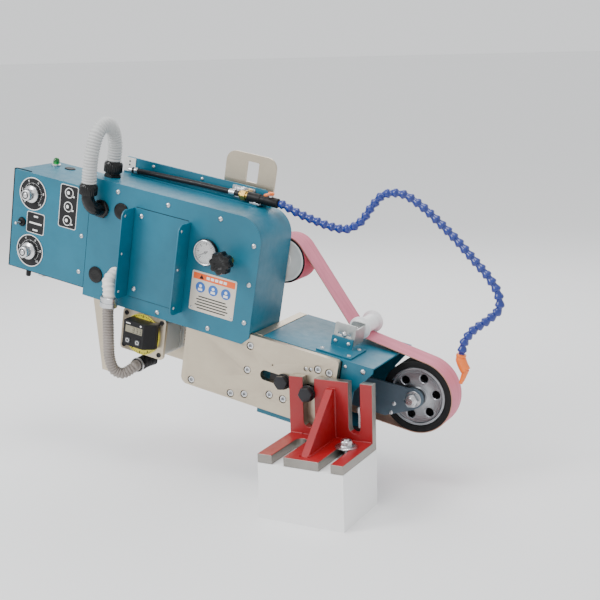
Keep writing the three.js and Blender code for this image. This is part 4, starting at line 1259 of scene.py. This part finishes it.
# ---- rail, air tube and valve on top ----
def top_pieces():
    top = BOX["top"]
    rail = Piece("top_rail_painted", "teal", slot="teal_paint").copy("top_rail")
    rail.use("white").plate(rounded(-506.5, -481, top + 3, 307, [2] * 4), 94.6, 96)
    rail.use("ink")
    for z in (286, 293, 300):
        rail.turn((-494, 0, z), [(0, 94.7), (1.7, 94.7), (1.7, 94.2), (0, 94.2)], segments=16)
    rail.use("zinc").plate(rounded(-262, -214, top + 6, 305, [2] * 4), 94.4, 96)
    for x in (-440, -330):
        button_screw(rail, x, 300, 96, 3.4, 2)
    rail.done(("top_rail",), bevel=0.6)
    clampnut = Piece("rail_clamp_nut", "zinc", slot="zinc_steel")
    hexagon(clampnut, (-238, 0, 297.5), "Y", 13, 94.4, 88)
    clampnut.done()

    tube = Piece("air_tube_run", "tube", slot="tube_black")
    run, _ = smooth_path([(-486, 86, 286), (-410, 86, 289), (-330, 86, 291.5), (-250, 86, 292),
        (-240, 86, 292)], 4)
    tube.tube(run, 5, 24)
    tube.use("zinc")
    for x, z in ((-486, 286), (-474, 286.6)):
        tube.tube([(x, 86, z), (x + 7, 86, z + 0.3)], 6.2, 24)
    tube.tube([(-262, 86, 291.8), (-250, 86, 292)], 6.4, 24)
    tube.done(("air_tube",), bevel=0.3)

    valve = Piece("coolant_valve_body", "brass", slot="valve_brass")
    valve.turn((0, 86, 292), [(0, -239.6), (7, -239.6), (7, -236), (8.8, -235.6, 6), (8.8, -226, 6),
        (7, -225.6), (7, -222), (0, -222)], "X", 24)
    valve.use("black").turn((0, 86, 292), [(0, -222), (8.6, -222), (9, -221), (9, -196), (8, -195),
        (8, -186), (9, -185), (9, -160), (7.4, -158), (0, -158)], "X", 36)
    valve.use("zinc").box(-215, -195, 79, 93, 281, 284)
    valve.box(-207, -203, 80, 92, 283, 292)
    valve.turn((-176, 86, 0), [(0, 292), (4, 292), (4, 303.6), (0, 304)], "Z", 24)
    valve.done(("coolant_valve",), bevel=0.3)
    handle = Piece("valve_handle_moulded", "orange", "valve_lever", "hose_orange")
    handle.turn((-176, 86, 0), [(0, 304.3), (6, 304.3), (6, 308.4), (5.4, 309), (0, 309)], "Z", 32)
    handle.box(-178.5, -173.5, 62, 84, 305, 308.5)
    handle.done(("valve_handle",), bevel=0.7)


# ---- room ----
def room():
    """A pale floor, a plain plinth under the bracket, and soft light."""
    low, high = CAD_BOX
    pale = Look("stage_pale", (0.9, 0.9, 0.9, 1), 0.85)
    pale.bump(pale.noise(30, 2), 0.02, 0.05)
    mesh = bpy.data.meshes.new("floor")
    reach = 60
    mesh.from_pydata([(-reach, -reach, FLOOR_Z), (reach, -reach, FLOOR_Z), (reach, reach, FLOOR_Z),
        (-reach, reach, FLOOR_Z)], [], [(0, 1, 2, 3)])
    mesh.materials.append(pale.material)
    floor = bpy.data.objects.new("floor", mesh)
    bpy.context.scene.collection.objects.link(floor)
    base_low, base_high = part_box("bracket")
    gap = 0.0003
    corners = [(x, y) for x, y in ((base_low.x, base_low.y), (base_high.x, base_low.y),
        (base_high.x, base_high.y), (base_low.x, base_high.y))]
    plinth_mesh = bpy.data.meshes.new("plinth")
    verts = [(x, y, z) for z in (FLOOR_Z, -gap) for x, y in corners]
    faces = [(0, 3, 2, 1), (4, 5, 6, 7)] + [(k, (k + 1) % 4, (k + 1) % 4 + 4, k + 4) for k in range(4)]
    plinth_mesh.from_pydata(verts, [], faces)
    plinth_mesh.materials.append(pale.material)
    plinth = bpy.data.objects.new("plinth", plinth_mesh)
    bpy.context.scene.collection.objects.link(plinth)

    world = bpy.data.worlds.new("studio")
    bpy.context.scene.world = world
    world.use_nodes = True
    world.node_tree.nodes["Background"].inputs["Color"].default_value = (0.97, 0.985, 1.0, 1)
    world.node_tree.nodes["Background"].inputs["Strength"].default_value = 1.1
    middle = (low + high) / 2
    for name, offset, size, power in (("key", (-1.3, -1.7, 1.5), 1.0, 42),
            ("top", (0.2, -0.2, 2.2), 1.1, 26), ("rim", (-0.6, 1.7, 1.3), 1.4, 18)):
        data = bpy.data.lights.new(name, "AREA")
        data.size = size
        data.energy = power
        lamp = bpy.data.objects.new(name, data)
        at = middle + Vector(offset)
        lamp.matrix_world = Matrix.Translation(at) @ (middle - at).to_track_quat("-Z",
            "Y").to_matrix().to_4x4()
        bpy.context.scene.collection.objects.link(lamp)


bracket_pieces()
clamp_pieces()
frame_pieces()
guard_pieces()
wheel_pieces()
pulley_pieces()
belt_piece()
motor_pieces()
box_pieces()
label_pieces()
air_pieces()
control_pieces()
conduit_pieces()
top_pieces()
room()
